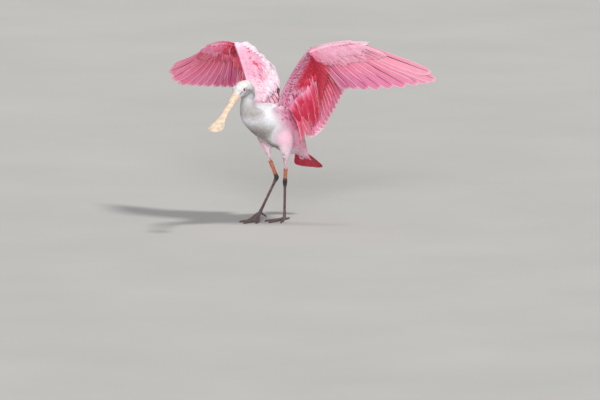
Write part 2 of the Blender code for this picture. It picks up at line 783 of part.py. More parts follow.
def wing_nodes(side, material):
    flip = mirrored if side == "right" else facing_out
    roots, tips, normals = feather_lines(side)
    rings = arm_rings(side)
    last = rings[-1]
    out = (last[0] - last[5]).cross(last[0] - last[9]).normalized()
    if out.dot(last[2] - rings[-2][2]) < 0:
        out = -out
    arm = mesh_object(f"wing_{side}_arm", flip(loft(rings)), material)
    combine(arm, [flip(shape) for shape in arm_feathers(roots, tips, normals)])
    rings = hand_rings(side, [p + out * GAP * 1.4 for p in last])
    hand = mesh_object(f"wing_{side}_hand", flip(loft(rings)), material)
    pieces = hand_feathers(roots, tips, normals)
    alula_root = at_place(smooth_path([vec(*p) for p in WING[side]["hand_lead"]], 21), 7.0)
    alula_tip = vec(*WING[side]["alula_tip"])
    pieces.append(vane(alula_root, alula_tip, normals[3], 0.006, 0.012, 0.03, 0.03, 4.0))
    combine(hand, [flip(shape) for shape in pieces])


def arm_feathers(roots, tips, normals):
    """The secondaries and tertials, with every second greater covert over the secondaries."""
    pieces = []
    last = len(roots) - 1
    for i in range(PRIMARY_COUNT, last + 1):
        inner = max(0, i - (last - 3))
        lift = normals[i] * max(0.0012, 0.0056 - 0.0011 * (i - PRIMARY_COUNT))
        root = roots[i] + lift
        tip = tips[i] + lift
        bow = 0.035 + 0.006 * inner
        lead = 0.006 if i == PRIMARY_COUNT else 0.010
        trail = 0.018 - 0.0035 * inner
        pieces.append(vane(root, tip, normals[i], lead, trail, bow, 0.0, 6.0))
        place = i - PRIMARY_COUNT
        if place % 2 == 0 and place <= ULNA_FEATHER_COUNT:
            reach = root.lerp(tip, 0.40) + normals[i] * 0.0062
            start = root + normals[i] * 0.0042
            pieces.append(vane(start, reach, normals[i], 0.014, 0.015, 0.05, 0.0, 5.0, SHORT_PROFILE))
    return pieces


def hand_feathers(roots, tips, normals):
    """The primaries, with every second primary covert."""
    pieces = []
    for i in range(PRIMARY_COUNT):
        outer = 1.0 - i / (PRIMARY_COUNT - 1)
        trail = 0.010 if i == PRIMARY_COUNT - 1 else 0.020
        bow = 0.035 + 0.02 * outer
        pieces.append(vane(roots[i], tips[i], normals[i], 0.011, trail, bow, 0.045 * outer ** 2, 5.5))
        if i % 2 == 1:
            reach = roots[i].lerp(tips[i], 0.36) + normals[i] * (0.0060 + 0.006 * outer)
            start = roots[i] + normals[i] * 0.0030
            pieces.append(vane(start, reach, normals[i], 0.013, 0.014, 0.05, 0.0, 4.5, SHORT_PROFILE))
    return pieces


def tail_node(material):
    back, height = TORSO[0][:2]
    place = vec(0, back, height)
    side = Vector((1.0, 0.0, 0.0))
    rings = []
    reached = 0.0
    roots = []
    for reach, angle, half_wide, half_deep in TAIL_CORE:
        turn = math.radians(angle)
        away = Vector((0.0, math.cos(turn), -math.sin(turn)))
        up = Vector((0.0, math.sin(turn), math.cos(turn)))
        place = place + away * (reach * MM - reached)
        reached = reach * MM
        roots.append(place)
        rings.append(ellipse(place, side, up, half_wide * MM, half_deep * MM, 20))
    item = mesh_object("tail", loft(rings), material)
    start = roots[1].lerp(roots[2], 0.6)
    pieces = []
    middle = (TAIL_FEATHER_COUNT - 1) / 2
    for i in range(TAIL_FEATHER_COUNT):
        off = (i - middle) / middle
        spread = math.radians(TAIL_SPREAD * off)
        aim = away * math.cos(spread) + side * math.sin(spread)
        base = start + side * off * 0.013 + up * (0.0012 - 0.0024 * abs(off))
        tip = base + aim * (TAIL_FEATHER - 0.006 * off * off) - up * (0.004 * abs(off) + 0.002)
        lean = 4.0 if i > middle else -4.0
        pieces.append(vane(base, tip, up, 0.010, 0.010, 0.02, 0.0, -lean))
    combine(item, pieces)


def shift_to_origin():
    """The frame's origin is the middle of the bottom of the whole model."""
    low = Vector((1e9, 1e9, 1e9))
    high = -low
    for item in bpy.context.scene.objects:
        if item.type != "MESH":
            continue
        for vert in item.data.vertices:
            low = Vector(map(min, low, vert.co))
            high = Vector(map(max, high, vert.co))
    move = Vector(((low.x + high.x) / 2, (low.y + high.y) / 2, low.z))
    for item in bpy.context.scene.objects:
        item.location = -move


def build():
    clear_scene()
    white = make_material("body_feathers", (0.86, 0.78, 0.77), 0.75)
    pink = make_material("wing_feathers", (0.86, 0.35, 0.43), 0.7)
    red = make_material("tail_feathers", (0.72, 0.07, 0.12), 0.65)
    bare = make_material("bare_skin", (0.72, 0.74, 0.64), 0.55)
    horn = make_material("bill_horn", (0.80, 0.66, 0.46), 0.45)
    iris = make_material("eye", (0.35, 0.03, 0.03), 0.1)
    orange = make_material("shank_skin", (0.72, 0.30, 0.16), 0.5)
    scale = make_material("leg_scale", (0.33, 0.26, 0.25), 0.55)
    torso_node(white)
    mesh_object("neck", loft([body_ring(section, 24) for section in NECK]), white)
    head_node(bare, iris)
    bill_nodes(horn)
    tail_node(red)
    for side in ("left", "right"):
        leg_nodes(side, orange, white, scale)
        wing_nodes(side, pink)
    shift_to_origin()


build()
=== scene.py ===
"""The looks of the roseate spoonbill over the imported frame: skin, feathers, bill, eyes and legs."""

import math

import bpy
import numpy as np
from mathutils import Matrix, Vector
from mathutils.bvhtree import BVHTree


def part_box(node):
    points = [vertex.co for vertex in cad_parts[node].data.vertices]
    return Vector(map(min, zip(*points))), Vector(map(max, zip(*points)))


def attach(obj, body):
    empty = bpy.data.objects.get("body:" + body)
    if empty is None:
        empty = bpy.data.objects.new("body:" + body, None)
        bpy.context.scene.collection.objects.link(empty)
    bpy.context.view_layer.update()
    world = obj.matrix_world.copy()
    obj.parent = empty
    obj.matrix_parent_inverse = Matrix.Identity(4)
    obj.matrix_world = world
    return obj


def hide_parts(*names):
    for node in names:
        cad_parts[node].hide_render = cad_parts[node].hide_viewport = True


# The bird's own millimetres: across from the midline, back, up. The frame only shifts them.
MM = 0.001
BODY = "root"
SIDES = ("left", "right")
MIRROR = np.array([-1.0, 1.0, 1.0])
ABOVE, BELOW = 0, 1
EYE_PLACE = (14.2, -199.5, 385.5)
EYE_RADIUS = 5.6 * MM
HEAD_YAW = 9.0
HEAD_PIVOT = (0.0, -141.0, 0.0)
BILL_BASE = (0.0, -219.3, 369.3)
BILL_LENGTH = 163.0
BILL_PITCH = 30.0
PRIMARY_COUNT = 10
ARM_FEATHER_COUNT = 18
ULNA_FEATHER_COUNT = 12
TAIL_FEATHER_COUNT = 12
FOREARM_BOW = (-3.0, 8.0, 13.0)

# Body centres from the rump to the head, and the legs' feathered parts
AXIS = (
    (0, 140, 160), (0, 106, 187), (0, 62, 217), (0, 22, 243), (0, -20, 268), (0, -54, 287), (0, -84, 300),
    (0, -108, 308), (0, -126, 315), (0, -139, 325), (0, -145, 337), (0, -144, 356), (0, -141, 364),
    (0, -143, 373), (0, -150, 381), (0, -163, 386), (0, -179, 386),
)
THIGH = {"left": ((53, -34, 256), (34.5, -9, 147)), "right": ((-50, -12, 262), (-22, -4, 165))}
# The tail's core: reach, angle down, half width, half depth
TAIL_CORE = ((0.3, 38, 25, 19), (12, 39, 24.5, 15), (24, 40, 23, 10), (36, 41, 21, 6), (46, 41, 18, 2.6))
TAIL_ROOT = (0, 106, 187)
TAIL_FEATHER = 68.0
TAIL_SPREAD = 29.0
ANKLE = {"left": (25, 1, 108), "right": (-11, 12, 116)}
TOE_JOINT = {"left": (24, 0, 13), "right": (-20, -51, 30)}

# Wing bones and feather tips, both wings given as a left one
WING = {
    "left": {
        "shoulder": (40, -50, 333),
        "elbow": (84, 73, 394),
        "wrist": (143, -51, 488),
        "lead": ((42, -62, 333), (60, -62, 366), (82, -60, 405), (112, -58, 450), (143, -54, 490)),
        "hand_end": (248, -2, 516),
        "hand_lead": ((143, -54, 490), (172, -44, 503), (208, -26, 513), (248, -4, 518)),
        "alula_tip": (299, 22, 511),
        "arm_tips": (
            (206, 36, 372), (191, 48, 364), (170, 62, 343), (146, 74, 314), (119, 85, 288),
            (95, 96, 263), (76, 104, 243), (67, 101, 233), (65, 91, 228), (62, 76, 226),
        ),
        "hand_tips": (
            (217, 38, 380), (240, 44, 381), (271, 54, 381), (304, 66, 383), (338, 79, 387),
            (372, 92, 390), (405, 105, 396), (434, 114, 400), (452, 117, 404), (440, 108, 423),
        ),
    },
    "right": {
        "shoulder": (40, -50, 333),
        "elbow": (70, 84, 390),
        "wrist": (121, -31, 487),
        "lead": ((42, -62, 333), (56, -58, 366), (73, -52, 405), (97, -43, 450), (121, -34, 489)),
        "hand_end": (226, -6, 475),
        "hand_lead": ((121, -34, 489), (152, -31, 493), (190, -20, 488), (226, -8, 477)),
        "alula_tip": (273, 14, 456),
        "arm_tips": (
            (199, 62, 350), (184, 66, 345), (165, 74, 330), (141, 82, 308), (116, 88, 284),
            (94, 96, 263), (76, 104, 243), (67, 101, 233), (66, 92, 228), (64, 77, 227),
        ),
        "hand_tips": (
            (212, 66, 351), (240, 68, 350), (268, 70, 349), (299, 70, 348), (328, 71, 347),
            (357, 72, 346), (388, 72, 345), (414, 75, 354), (432, 84, 370), (424, 88, 384),
        ),
    },
}
WING_ROOT = ((41, -58, 325), (47, 8, 309))
# The elbow's place on the arm, then stations: share of the way out, depth as a share of the feathers
ELBOW_SHARE = 0.45
ARM_STATIONS = (
    (0.20, 0.34), (0.32, 0.32), (0.42, 0.30), (0.50, 0.30), (0.60, 0.28), (0.70, 0.25), (0.79, 0.21),
    (0.87, 0.15), (0.93, 0.09), (1.0, 0.05),
)
HAND_STATIONS = (0.0, 0.08, 0.24, 0.42, 0.60, 0.78, 0.92, 1.0)

# Coat and skin
VOXEL = 2.2 * MM
FINE_VOXEL = 0.85 * MM
COAT_DEPTH = 3.2 * MM
COAT_SPACING = 2.6 * MM
COAT_CUTS = ((0.0, 0.42, "neck"), (0.42, 0.66, "breast"), (0.66, 0.84, "flanks"), (0.84, 1.01, "rump"))
COLLAR = 345.0
NECK_MIDDLE = (0.0, -144.5, 345.0)
# Sides of the bake places of tufts and of coverts
PATCH = 0.003
COVERT_PATCH = 0.007
# Bands of small coverts by distance from the leading edge: to, spacing, length, half width
COVERT_BANDS = {
    "arm": ((15.0, 3.1, 11.0, 2.6), (38.0, 3.9, 15.0, 3.4), (75.0, 5.0, 22.0, 4.8), (400.0, 5.8, 27.0, 6.2)),
    "hand": ((8.0, 3.2, 11.0, 2.7), (18.0, 4.2, 20.0, 4.0), (400.0, 6.0, 33.0, 5.8)),
}
# How far back over the flesh they go, above and below
COVERT_REACH = {"arm": (0.78, 1.0), "hand": (0.60, 0.66)}
# Rows of coverts on the flight feathers: face, reach on hand and arm, half width, lift at root and tip,
# depth on hand and arm, warmth on hand and arm, bake place
COVERT_ROWS = (
    (ABOVE, (0.36, 0.42), 10.5, (3.4, 5.2), (0.36, 0.34), (0.4, 0.4), 0.90),
    (ABOVE, (0.24, 0.28), 9.5, (5.2, 7.4), (0.32, 0.28), (0.4, 0.4), 0.94),
    (BELOW, (0.40, 0.50), 10.5, (2.2, 3.4), (0.46, 0.72), (0.45, 0.9), 0.90),
    (BELOW, (0.28, 0.34), 9.0, (3.8, 5.2), (0.42, 0.76), (0.40, 0.92), 0.94),
)
# Lines from first to last root, and from first to last tip, of the axillaries beside the body
ARMPIT = (((46, 12, 310), (53, -6, 338)), ((48, 50, 216), (64, 84, 246)))
# Dark lines on the head: path, number of places, width with and without its soft edge, strength
HEAD_LINES = (
    (
        ((16, -191, 385), (19, -181, 382), (20.5, -168, 380), (19, -152, 374), (16, -140, 362)),
        24, 11.0, 2.0, 0.74,
    ),
    (((17, -150, 384), (12, -134, 380), (4, -126, 372), (3, -123, 358)), 20, 15.0, 2.0, 0.62),
    (((18, -190, 375), (19.5, -178, 369), (20, -164, 363), (19, -150, 354)), 20, 14.0, 2.0, 0.55),
    (((15.2, -204.5, 383.5), (14.4, -211, 379.5), (13.8, -219, 374)), 14, 2.5, 1.1, 1.4),
)
EYE_OUTLINE = 0.80
# Half widths of the bill from its base to its end
BILL_HALVES = (13.5, 11.5, 9.8, 9.5, 10.9, 16.4, 21.6, 23.5, 15.0)
# Directions of the toes, in degrees from straight ahead
TOE_TURNS = (-2.0, 24.0, -27.0, 172.0)
# The eyelid's section: distance from the eye's axis, and outward from its centre
LID_PROFILE = (
    (4.7, 3.1), (4.85, 3.6), (5.3, 3.85), (5.9, 3.7), (6.6, 3.1), (7.4, 2.2), (8.2, 1.0), (8.8, -0.6),
    (8.0, -1.8), (6.6, -0.6), (5.4, 1.0), (4.8, 2.3),
)

# The floor, the lights and the photograph's view
FLOOR_SIZE = 120.0
SKY_STRENGTH = 0.34
KEY_STRENGTH = 1.7
FILL_STRENGTH = 2.75
SENSOR_WIDTH = 36.0
CAMERA_AZIMUTH = 35.0
CAMERA_ELEVATION = 7.5
CAMERA_DISTANCE = 30.0
VIEW_WIDTH = 1.676
AIM = (24.0, 0.0, 0.0)
AIM_RIGHT = 43.3
AIM_UP = 55.9


# Arithmetic on arrays of points

def unit(v):
    return v / np.maximum(np.linalg.norm(v, axis=-1, keepdims=True), 1e-12)


def at(table, share):
    """The row at a share of a table's length."""
    return sample(table, np.array([share * (len(table) - 1)]))[0]


def dot(a, b):
    return (a * b).sum(axis=-1, keepdims=True)


def ramped(low, high, x):
    return np.clip((x - low) / (high - low), 0.0, 1.0)


def smooth(low, high, x):
    t = ramped(low, high, x)
    return t * t * (3.0 - 2.0 * t)


def points(table):
    return np.array(table, float) * MM


def yawed(p):
    """Head points turned with the head."""
    a = math.radians(HEAD_YAW)
    turn = np.array([[math.cos(a), -math.sin(a), 0.0], [math.sin(a), math.cos(a), 0.0], [0.0, 0.0, 1.0]])
    pivot = np.array(HEAD_PIVOT) * MM
    return (np.array(p, float) - pivot) @ turn.T + pivot


def curve(keys, count):
    """Points spread over a curve that passes through the keys."""
    keys = np.asarray(keys, float)
    spans = len(keys) - 1
    place = spans * np.arange(count) / (count - 1)
    span = np.minimum(place.astype(int), spans - 1)
    t = (place - span)[:, None]
    p0 = keys[np.maximum(span - 1, 0)]
    p1 = keys[span]
    p2 = keys[span + 1]
    p3 = keys[np.minimum(span + 2, spans)]
    bend = 2 * p1 + (p2 - p0) * t + (2 * p0 - 5 * p1 + 4 * p2 - p3) * t * t
    return 0.5 * (bend + (3 * p1 - p0 - 3 * p2 + p3) * t ** 3)


def sample(table, place):
    """Rows of a table at fractional places."""
    table = np.asarray(table, float)
    place = np.clip(np.asarray(place, float), 0.0, len(table) - 1.0)
    low = np.minimum(place.astype(int), len(table) - 2)
    share = (place - low).reshape(place.shape + (1,) * (table.ndim - 1))
    return table[low] * (1.0 - share) + table[low + 1] * share


# Meshes from arrays

def mesh_object(name, verts, tris, material, attributes=None, sharp=None):
    """A smooth triangle mesh with number attributes on its points."""
    mesh = bpy.data.meshes.new(name)
    mesh.vertices.add(len(verts))
    mesh.vertices.foreach_set("co", np.asarray(verts, np.float32).ravel())
    mesh.loops.add(len(tris) * 3)
    mesh.loops.foreach_set("vertex_index", np.asarray(tris, np.int32).ravel())
    mesh.polygons.add(len(tris))
    mesh.polygons.foreach_set("loop_start", np.arange(len(tris), dtype=np.int32) * 3)
    mesh.polygons.foreach_set("use_smooth", np.ones(len(tris), bool))
    mesh.update(calc_edges=True)
    for key, values in (attributes or {}).items():
        kind = "FLOAT" if np.ndim(values) == 1 else "FLOAT_VECTOR"
        made = mesh.attributes.new(key, kind, "POINT")
        field = "value" if kind == "FLOAT" else "vector"
        made.data.foreach_set(field, np.asarray(values, np.float32).ravel())
    if sharp is not None:
        ends = np.zeros(len(mesh.edges) * 2, np.int32)
        mesh.edges.foreach_get("vertices", ends)
        one, two = sharp[ends.reshape(-1, 2)].T
        made = mesh.attributes.new("sharp_edge", "BOOLEAN", "EDGE")
        made.data.foreach_set("value", (one == two) & (one > 0))
    mesh.materials.append(material)
    return shown(name, mesh)


def shown(name, data):
    """A new object of the scene with the given mesh, light or camera."""
    item = bpy.data.objects.new(name, data)
    bpy.context.scene.collection.objects.link(item)
    return item


def finish_piece(item, replaced=()):
    """Moves a piece from the bird's own place to the frame's, puts it on its body and hides the frame parts
    it replaces.
    """
    co = np.zeros(len(item.data.vertices) * 3, np.float32)
    item.data.vertices.foreach_get("co", co)
    item.data.vertices.foreach_set("co", (co.reshape(-1, 3) + SHIFT).astype(np.float32).ravel())
    item.data.update()
    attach(item, BODY)
    if replaced:
        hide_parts(*replaced)


def corners(verts, tris):
    """The three corner points of every triangle."""
    return (verts[tris[:, i]] for i in range(3))


def ring_faces(levels, count):
    """Triangles of a closed body: its rings joined in order, then the first and the last one filled."""
    low = np.arange(levels - 1)[:, None] * count + np.arange(count)
    after = np.arange(levels - 1)[:, None] * count + (np.arange(count) + 1) % count
    sides = [np.stack([low, after, after + count], -1), np.stack([low, after + count, low + count], -1)]
    fan = np.array([(0, i, i + 1) for i in range(1, count - 1)])
    ends = [fan[:, [0, 2, 1]], fan + (levels - 1) * count]
    return np.concatenate([t.reshape(-1, 3) for t in sides] + ends)


def loft(rings):
    """Points and triangles of a closed body through rings of the same count."""
    rings = np.asarray(rings, float)
    tris = ring_faces(*rings.shape[:2])
    verts = rings.reshape(-1, 3)
    a, b, c = corners(verts, tris)
    if dot(a, np.cross(b, c)).sum() < 0:
        tris = tris[:, ::-1]
    return verts, tris


def circle(count, one, two):
    """Points round an ellipse with the given half axes."""
    turn = np.linspace(0.0, 2 * math.pi, count, endpoint=False)[:, None]
    return np.cos(turn) * one + np.sin(turn) * two


def arrays_of(mesh):
    """Points and triangles of a mesh."""
    mesh.calc_loop_triangles()
    verts = np.zeros(len(mesh.vertices) * 3)
    mesh.vertices.foreach_get("co", verts)
    tris = np.zeros(len(mesh.loop_triangles) * 3, int)
    mesh.loop_triangles.foreach_get("vertices", tris)
    return verts.reshape(-1, 3), tris.reshape(-1, 3)


def node_arrays(name):
    verts, tris = arrays_of(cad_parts[name].data)
    return verts - SHIFT, tris


def stacked(shapes):
    """Several shapes as one set of points and triangles."""
    verts, tris, start = [], [], 0
    for v, t in shapes:
        verts.append(v)
        tris.append(np.asarray(t) + start)
        start += len(v)
    return np.concatenate(verts), np.concatenate(tris)


def point_normals(verts, tris):
    a, b, c = corners(verts, tris)
    face = np.cross(b - a, c - a)
    normals = np.zeros_like(verts)
    for i in range(3):
        np.add.at(normals, tris[:, i], face)
    return unit(normals)


def relaxed(verts, tris, passes, share=0.5):
    """Points moved toward the middle of their neighbours, to take off the steps that a remesh leaves."""
    pairs = np.concatenate([tris[:, [0, 1]], tris[:, [1, 2]], tris[:, [2, 0]]])
    pairs = np.unique(np.sort(pairs, axis=1), axis=0)
    count = np.bincount(pairs.ravel(), minlength=len(verts))[:, None]
    for _ in range(passes):
        total = np.zeros_like(verts)
        np.add.at(total, pairs[:, 0], verts[pairs[:, 1]])
        np.add.at(total, pairs[:, 1], verts[pairs[:, 0]])
        verts = verts + (total / np.maximum(count, 1) - verts) * share
    return verts


def fused(shapes, voxel, passes):
    """One closed surface round several shapes that touch."""
    item = mesh_object("fusing", *stacked(shapes), bpy.data.materials[0])
    remesh = item.modifiers.new("Fuse", "REMESH")
    remesh.mode = "VOXEL"
    remesh.voxel_size = voxel
    made = bpy.data.meshes.new_from_object(item.evaluated_get(bpy.context.evaluated_depsgraph_get()))
    verts, tris = arrays_of(made)
    first = item.data
    bpy.data.objects.remove(item)
    for mesh in (first, made):
        bpy.data.meshes.remove(mesh)
    return relaxed(verts, tris, passes), tris


# Feathers

def rounded(t, root, full, fall, tip):
    """Width of a feather along its length: narrow at the root, even, then rounded to the tip."""
    rise = root + (1.0 - root) * smooth(0.0, full, t)
    drop = np.sqrt(np.clip(1.0 - np.clip((t - fall) / (1.0 - fall), 0.0, 1.0) ** 2.2, 0.0, 1.0))
    return rise * np.maximum(drop, tip)


def form(levels, across, under, **shape):
    """A feather's places and faces. Across are the places on top from rim to rim, under those below."""
    stations = 1.0 - (1.0 - np.linspace(0.0, 1.0, levels)) ** 1.25
    ring = np.array(across + under[::-1])
    top = np.array([1.0] * len(across) + [-1.0] * len(under))
    count = len(ring)
    rim = np.zeros(count, int)
    rim[0], rim[len(across) - 1] = 1, 2
    return {
        "t": np.repeat(stations, count), "wide": np.repeat(rounded(stations, **shape), count),
        "s": np.tile(ring, levels), "top": np.tile(top, levels), "rim": np.tile(rim, levels),
        "level": np.repeat(np.arange(levels), count), "tris": ring_faces(levels, count),
    }


TUFT = form(5, (-1.0, 0.0, 1.0), (), root=0.5, full=0.3, fall=0.55, tip=0.12)
COVERT = form(8, (-1.0, -0.5, 0.0, 0.5, 1.0), (0.0,), root=0.45, full=0.25, fall=0.62, tip=0.16)
FLIGHT = form(
    30, (-1.0, -0.8, -0.5, -0.22, -0.07, 0.0, 0.07, 0.25, 0.6, 1.0), (-0.5, -0.1, 0.0, 0.1, 0.5),
    root=0.3, full=0.22, fall=0.80, tip=0.08,
)


def column(values, n):
    """One number for each of n feathers, from one number or from n."""
    return np.broadcast_to(np.asarray(values, float).reshape(-1, 1), (n, 1))


def feather_axes(along, up, lean):
    """The ways along, across and up of each feather, leaned round its length by degrees."""
    along = unit(along)
    up = unit(up - along * dot(up, along))
    side = unit(np.cross(along, up))
    tilt = np.radians(lean)
    return along, side * np.cos(tilt) + up * np.sin(tilt), up * np.cos(tilt) - side * np.sin(tilt)


def feather_widths(shape, front, behind, ragged, rng):
    """Half width at every point, with the rims cut at random by a share."""
    width = np.where(shape["s"] > 0, front, behind) * shape["wide"]
    cuts = 1.0 - ragged * rng.random((len(front), shape["level"].max() + 1, 2))
    for hand in (1, 2):
        here = shape["rim"] == hand
        width[:, here] *= cuts[:, shape["level"][here], hand - 1]
    return width


def feathers(shape, root, along, up, length, half, tone, rng, spot=None, patch=PATCH, trail=None, bow=0.0,
             curl=0.0, sweep=0.0, lean=0.0, dome=0.10, thick=0.35 * MM, ridge=0.0, ragged=0.04, grow=1.0):
    """A block of like feathers, one for each root, as long as along if no length is given.

    Tone is depth of pink, warmth and pale rim.
    """
    n = len(root)
    t, s = shape["t"][None, :], shape["s"][None, :]
    length = column(np.linalg.norm(along, axis=1) if length is None else length, n)
    behind = column(half if trail is None else trail, n) * (grow + (1.0 - grow) * smooth(0.0, 0.6, t))
    width = feather_widths(shape, column(half, n), behind, ragged, rng)
    flat = np.abs(s)
    arch = column(bow, n) * 4.0 * t * (1.0 - t) - column(curl, n) * t * t
    body = thick * (1.0 - 0.6 * t) * np.where(flat > 0.99, 0.0, 1.0) * 0.5
    quill = ridge * np.exp(-((s / 0.06) ** 2)) * (1.0 - 0.85 * t)
    lift = length * arch + dome * width * (1.0 - flat ** 2) + shape["top"] * (body + quill)
    over = s * width + column(sweep, n) * length * t * t
    along, side, up = feather_axes(along, up, column(lean, n))
    verts = root[:, None, :] + along[:, None, :] * (length * t)[..., None]
    verts = verts + side[:, None, :] * over[..., None] + up[:, None, :] * lift[..., None]
    full = lambda v: np.broadcast_to(v if np.ndim(v) == 2 else column(v, n), (n, t.shape[1]))
    seed = full(rng.random((n, 1)))
    if spot is None:
        spot = rng.random((n, 2))
    uv = spot[:, None, :] * (1.0 - 1.2 * patch) + 0.6 * patch
    uv = uv + np.stack([full(s * 0.5), full(t - 0.5)], -1) * patch
    return {
        "verts": verts, "tris": shape["tris"], "rim": shape["rim"], "uv": uv,
        "lay": np.stack([full(t), full(s), seed], -1), "tone": np.stack([full(v) for v in tone], -1),
    }


def mirrored(block):
    return {**block, "verts": block["verts"] * MIRROR, "tris": block["tris"][:, ::-1]}


def feather_object(name, blocks, material, replaced=()):
    """One joined mesh from blocks of feathers, with its bake map."""
    tris, start = [], 0
    for block in blocks:
        n, m = block["verts"].shape[:2]
        tris.append((block["tris"][None] + (np.arange(n) * m)[:, None, None] + start).reshape(-1, 3))
        start += n * m
    tris = np.concatenate(tris)
    joined = {
        key: np.concatenate([b[key].reshape((-1,) + b[key].shape[2:]) for b in blocks])
        for key in ("verts", "lay", "tone", "uv")
    }
    rims = np.concatenate([np.tile(b["rim"], len(b["verts"])) for b in blocks])
    attributes = {key: joined[key] for key in ("lay", "tone")}
    item = mesh_object(name, joined["verts"], tris, material, attributes, rims)
    layer = item.data.uv_layers.new(name="OFBake")
    layer.data.foreach_set("uv", joined["uv"][tris.ravel()].astype(np.float32).ravel())
    finish_piece(item, replaced)


# Materials

class Value:
    """One output in a material's tree. Sums and products of values add nodes to it."""

    def __init__(self, nodes, socket):
        self.nodes = nodes
        self.socket = socket

    def __add__(self, other):
        return self.nodes.math("ADD", self, other)

    def __sub__(self, other):
        return self.nodes.math("SUBTRACT", self, other)

    def __rsub__(self, other):
        return self.nodes.math("SUBTRACT", other, self)

    def __mul__(self, other):
        return self.nodes.math("MULTIPLY", self, other)

    def __truediv__(self, other):
        return self.nodes.math("DIVIDE", self, other)

    def __abs__(self):
        return self.nodes.math("ABSOLUTE", self)


class Nodes:
    """Shorthand for one material's node tree."""

    def __init__(self, name):
        self.material = bpy.data.materials.new(name)
        self.material.use_nodes = True
        self.tree = self.material.node_tree
        self.shader = self.tree.nodes["Principled BSDF"]

    def set(self, target, source):
        if isinstance(source, Value):
            self.tree.links.new(source.socket, target)
        elif isinstance(source, tuple):
            target.default_value = source + (1.0,) * (len(target.default_value) - len(source))
        else:
            target.default_value = source

    def put(self, kind, inputs, out=0, **settings):
        """Adds a node with its settings and inputs, and gives one of its outputs."""
        node = self.tree.nodes.new(kind)
        for key, setting in settings.items():
            setattr(node, key, setting)
        for key, source in inputs.items():
            self.set(node.inputs[key], source)
        return Value(self, node.outputs[out])

    def math(self, operation, a, b=0.0):
        return self.put("ShaderNodeMath", {0: a, 1: b}, operation=operation)

    def span(self, value, low, high, start=0.0, end=1.0):
        inputs = {"Value": value, "From Min": low, "From Max": high, "To Min": start, "To Max": end}
        return self.put("ShaderNodeMapRange", inputs, clamp=True, interpolation_type="SMOOTHSTEP")

    def attribute(self, name, out="Fac"):
        return self.put("ShaderNodeAttribute", {}, out, attribute_name=name)

    def parts(self, name):
        split = self.put("ShaderNodeSeparateXYZ", {0: self.attribute(name, "Vector")})
        return [Value(self, socket) for socket in split.socket.node.outputs]

    def place(self):
        return self.put("ShaderNodeTexCoord", {}, "Object")

    def noise(self, scale, detail=3.0, rough=0.5):
        inputs = {"Scale": scale, "Detail": detail, "Roughness": rough, "Vector": self.place()}
        return self.put("ShaderNodeTexNoise", inputs)

    def cell_edges(self, scale):
        inputs = {"Scale": scale, "Vector": self.place()}
        return self.put("ShaderNodeTexVoronoi", inputs, "Distance", feature="DISTANCE_TO_EDGE")

    def ramp(self, value, stops):
        made = self.put("ShaderNodeValToRGB", {"Fac": value})
        stops = tuple(stops)
        band = made.socket.node.color_ramp
        while len(band.elements) < len(stops):
            band.elements.new(0.5)
        for element, (place, colour) in zip(band.elements, stops):
            element.position = place
            element.color = colour + (1.0,)
        return made

    def mix(self, share, a, b):
        return self.put("ShaderNodeMix", {0: share, 6: a, 7: b}, 2, data_type="RGBA")

    def bump(self, height, depth, strength):
        inputs = {"Strength": strength, "Distance": depth, "Height": height}
        self.set(self.shader.inputs["Normal"], self.put("ShaderNodeBump", inputs, "Normal"))

    def base(self, colour, roughness, **sockets):
        for key, source in {"Base_Color": colour, "Roughness": roughness, **sockets}.items():
            self.set(self.shader.inputs[key.replace("_", " ")], source)
        return self.material


# Depth of pink from a dark grey through white to carmine, in a cool and in a warm row. The grey is painted
# shade on the belly and the neck's side, and also greys some thigh feathers
DEPTHS = (-0.15, 0.0, 0.2, 0.4, 0.6, 0.8, 1.0)
COOL = (
    (0.25, 0.23, 0.20), (0.79, 0.81, 0.86), (0.80, 0.58, 0.70), (0.72, 0.40, 0.55), (0.66, 0.20, 0.36),
    (0.46, 0.07, 0.17), (0.22, 0.02, 0.06),
)
WARM = (
    (0.25, 0.23, 0.20), (0.83, 0.81, 0.82), (0.87, 0.57, 0.64), (0.87, 0.34, 0.42), (0.82, 0.11, 0.18),
    (0.62, 0.022, 0.055), (0.36, 0.008, 0.02),
)
RIM_COLOUR = (0.90, 0.80, 0.84)
BARB_COLOUR = (0.40, 0.06, 0.14)
QUILL_COLOUR = (0.11, 0.010, 0.030)
HEAD_SKIN = ((0.32, (0.60, 0.60, 0.59)), (0.52, (0.78, 0.75, 0.74)), (0.68, (0.88, 0.84, 0.83)))
LEG_GREY = ((0.3, (0.075, 0.045, 0.043)), (0.5, (0.15, 0.088, 0.084)), (0.7, (0.24, 0.14, 0.13)))
LEG_ORANGE = ((0.3, (0.50, 0.12, 0.07)), (0.7, (0.74, 0.27, 0.16)))
HORN = ((0.30, (0.56, 0.46, 0.35)), (0.50, (0.74, 0.58, 0.44)), (0.70, (0.82, 0.68, 0.56)))
IRIS = (
    (0.0, (0.004, 0.003, 0.003)), (0.40, (0.004, 0.003, 0.003)), (0.46, (0.20, 0.007, 0.008)),
    (0.72, (0.40, 0.016, 0.016)), (0.90, (0.12, 0.008, 0.008)), (1.0, (0.02, 0.012, 0.012)),
)


def pinks(nodes, depth, warm):
    """The colour of a depth of pink, in feathers and in the skin under them."""
    reach = DEPTHS[-1] - DEPTHS[0]
    share = (depth - DEPTHS[0]) / reach
    places = [(d - DEPTHS[0]) / reach for d in DEPTHS]
    return nodes.mix(warm, nodes.ramp(share, zip(places, COOL)), nodes.ramp(share, zip(places, WARM)))


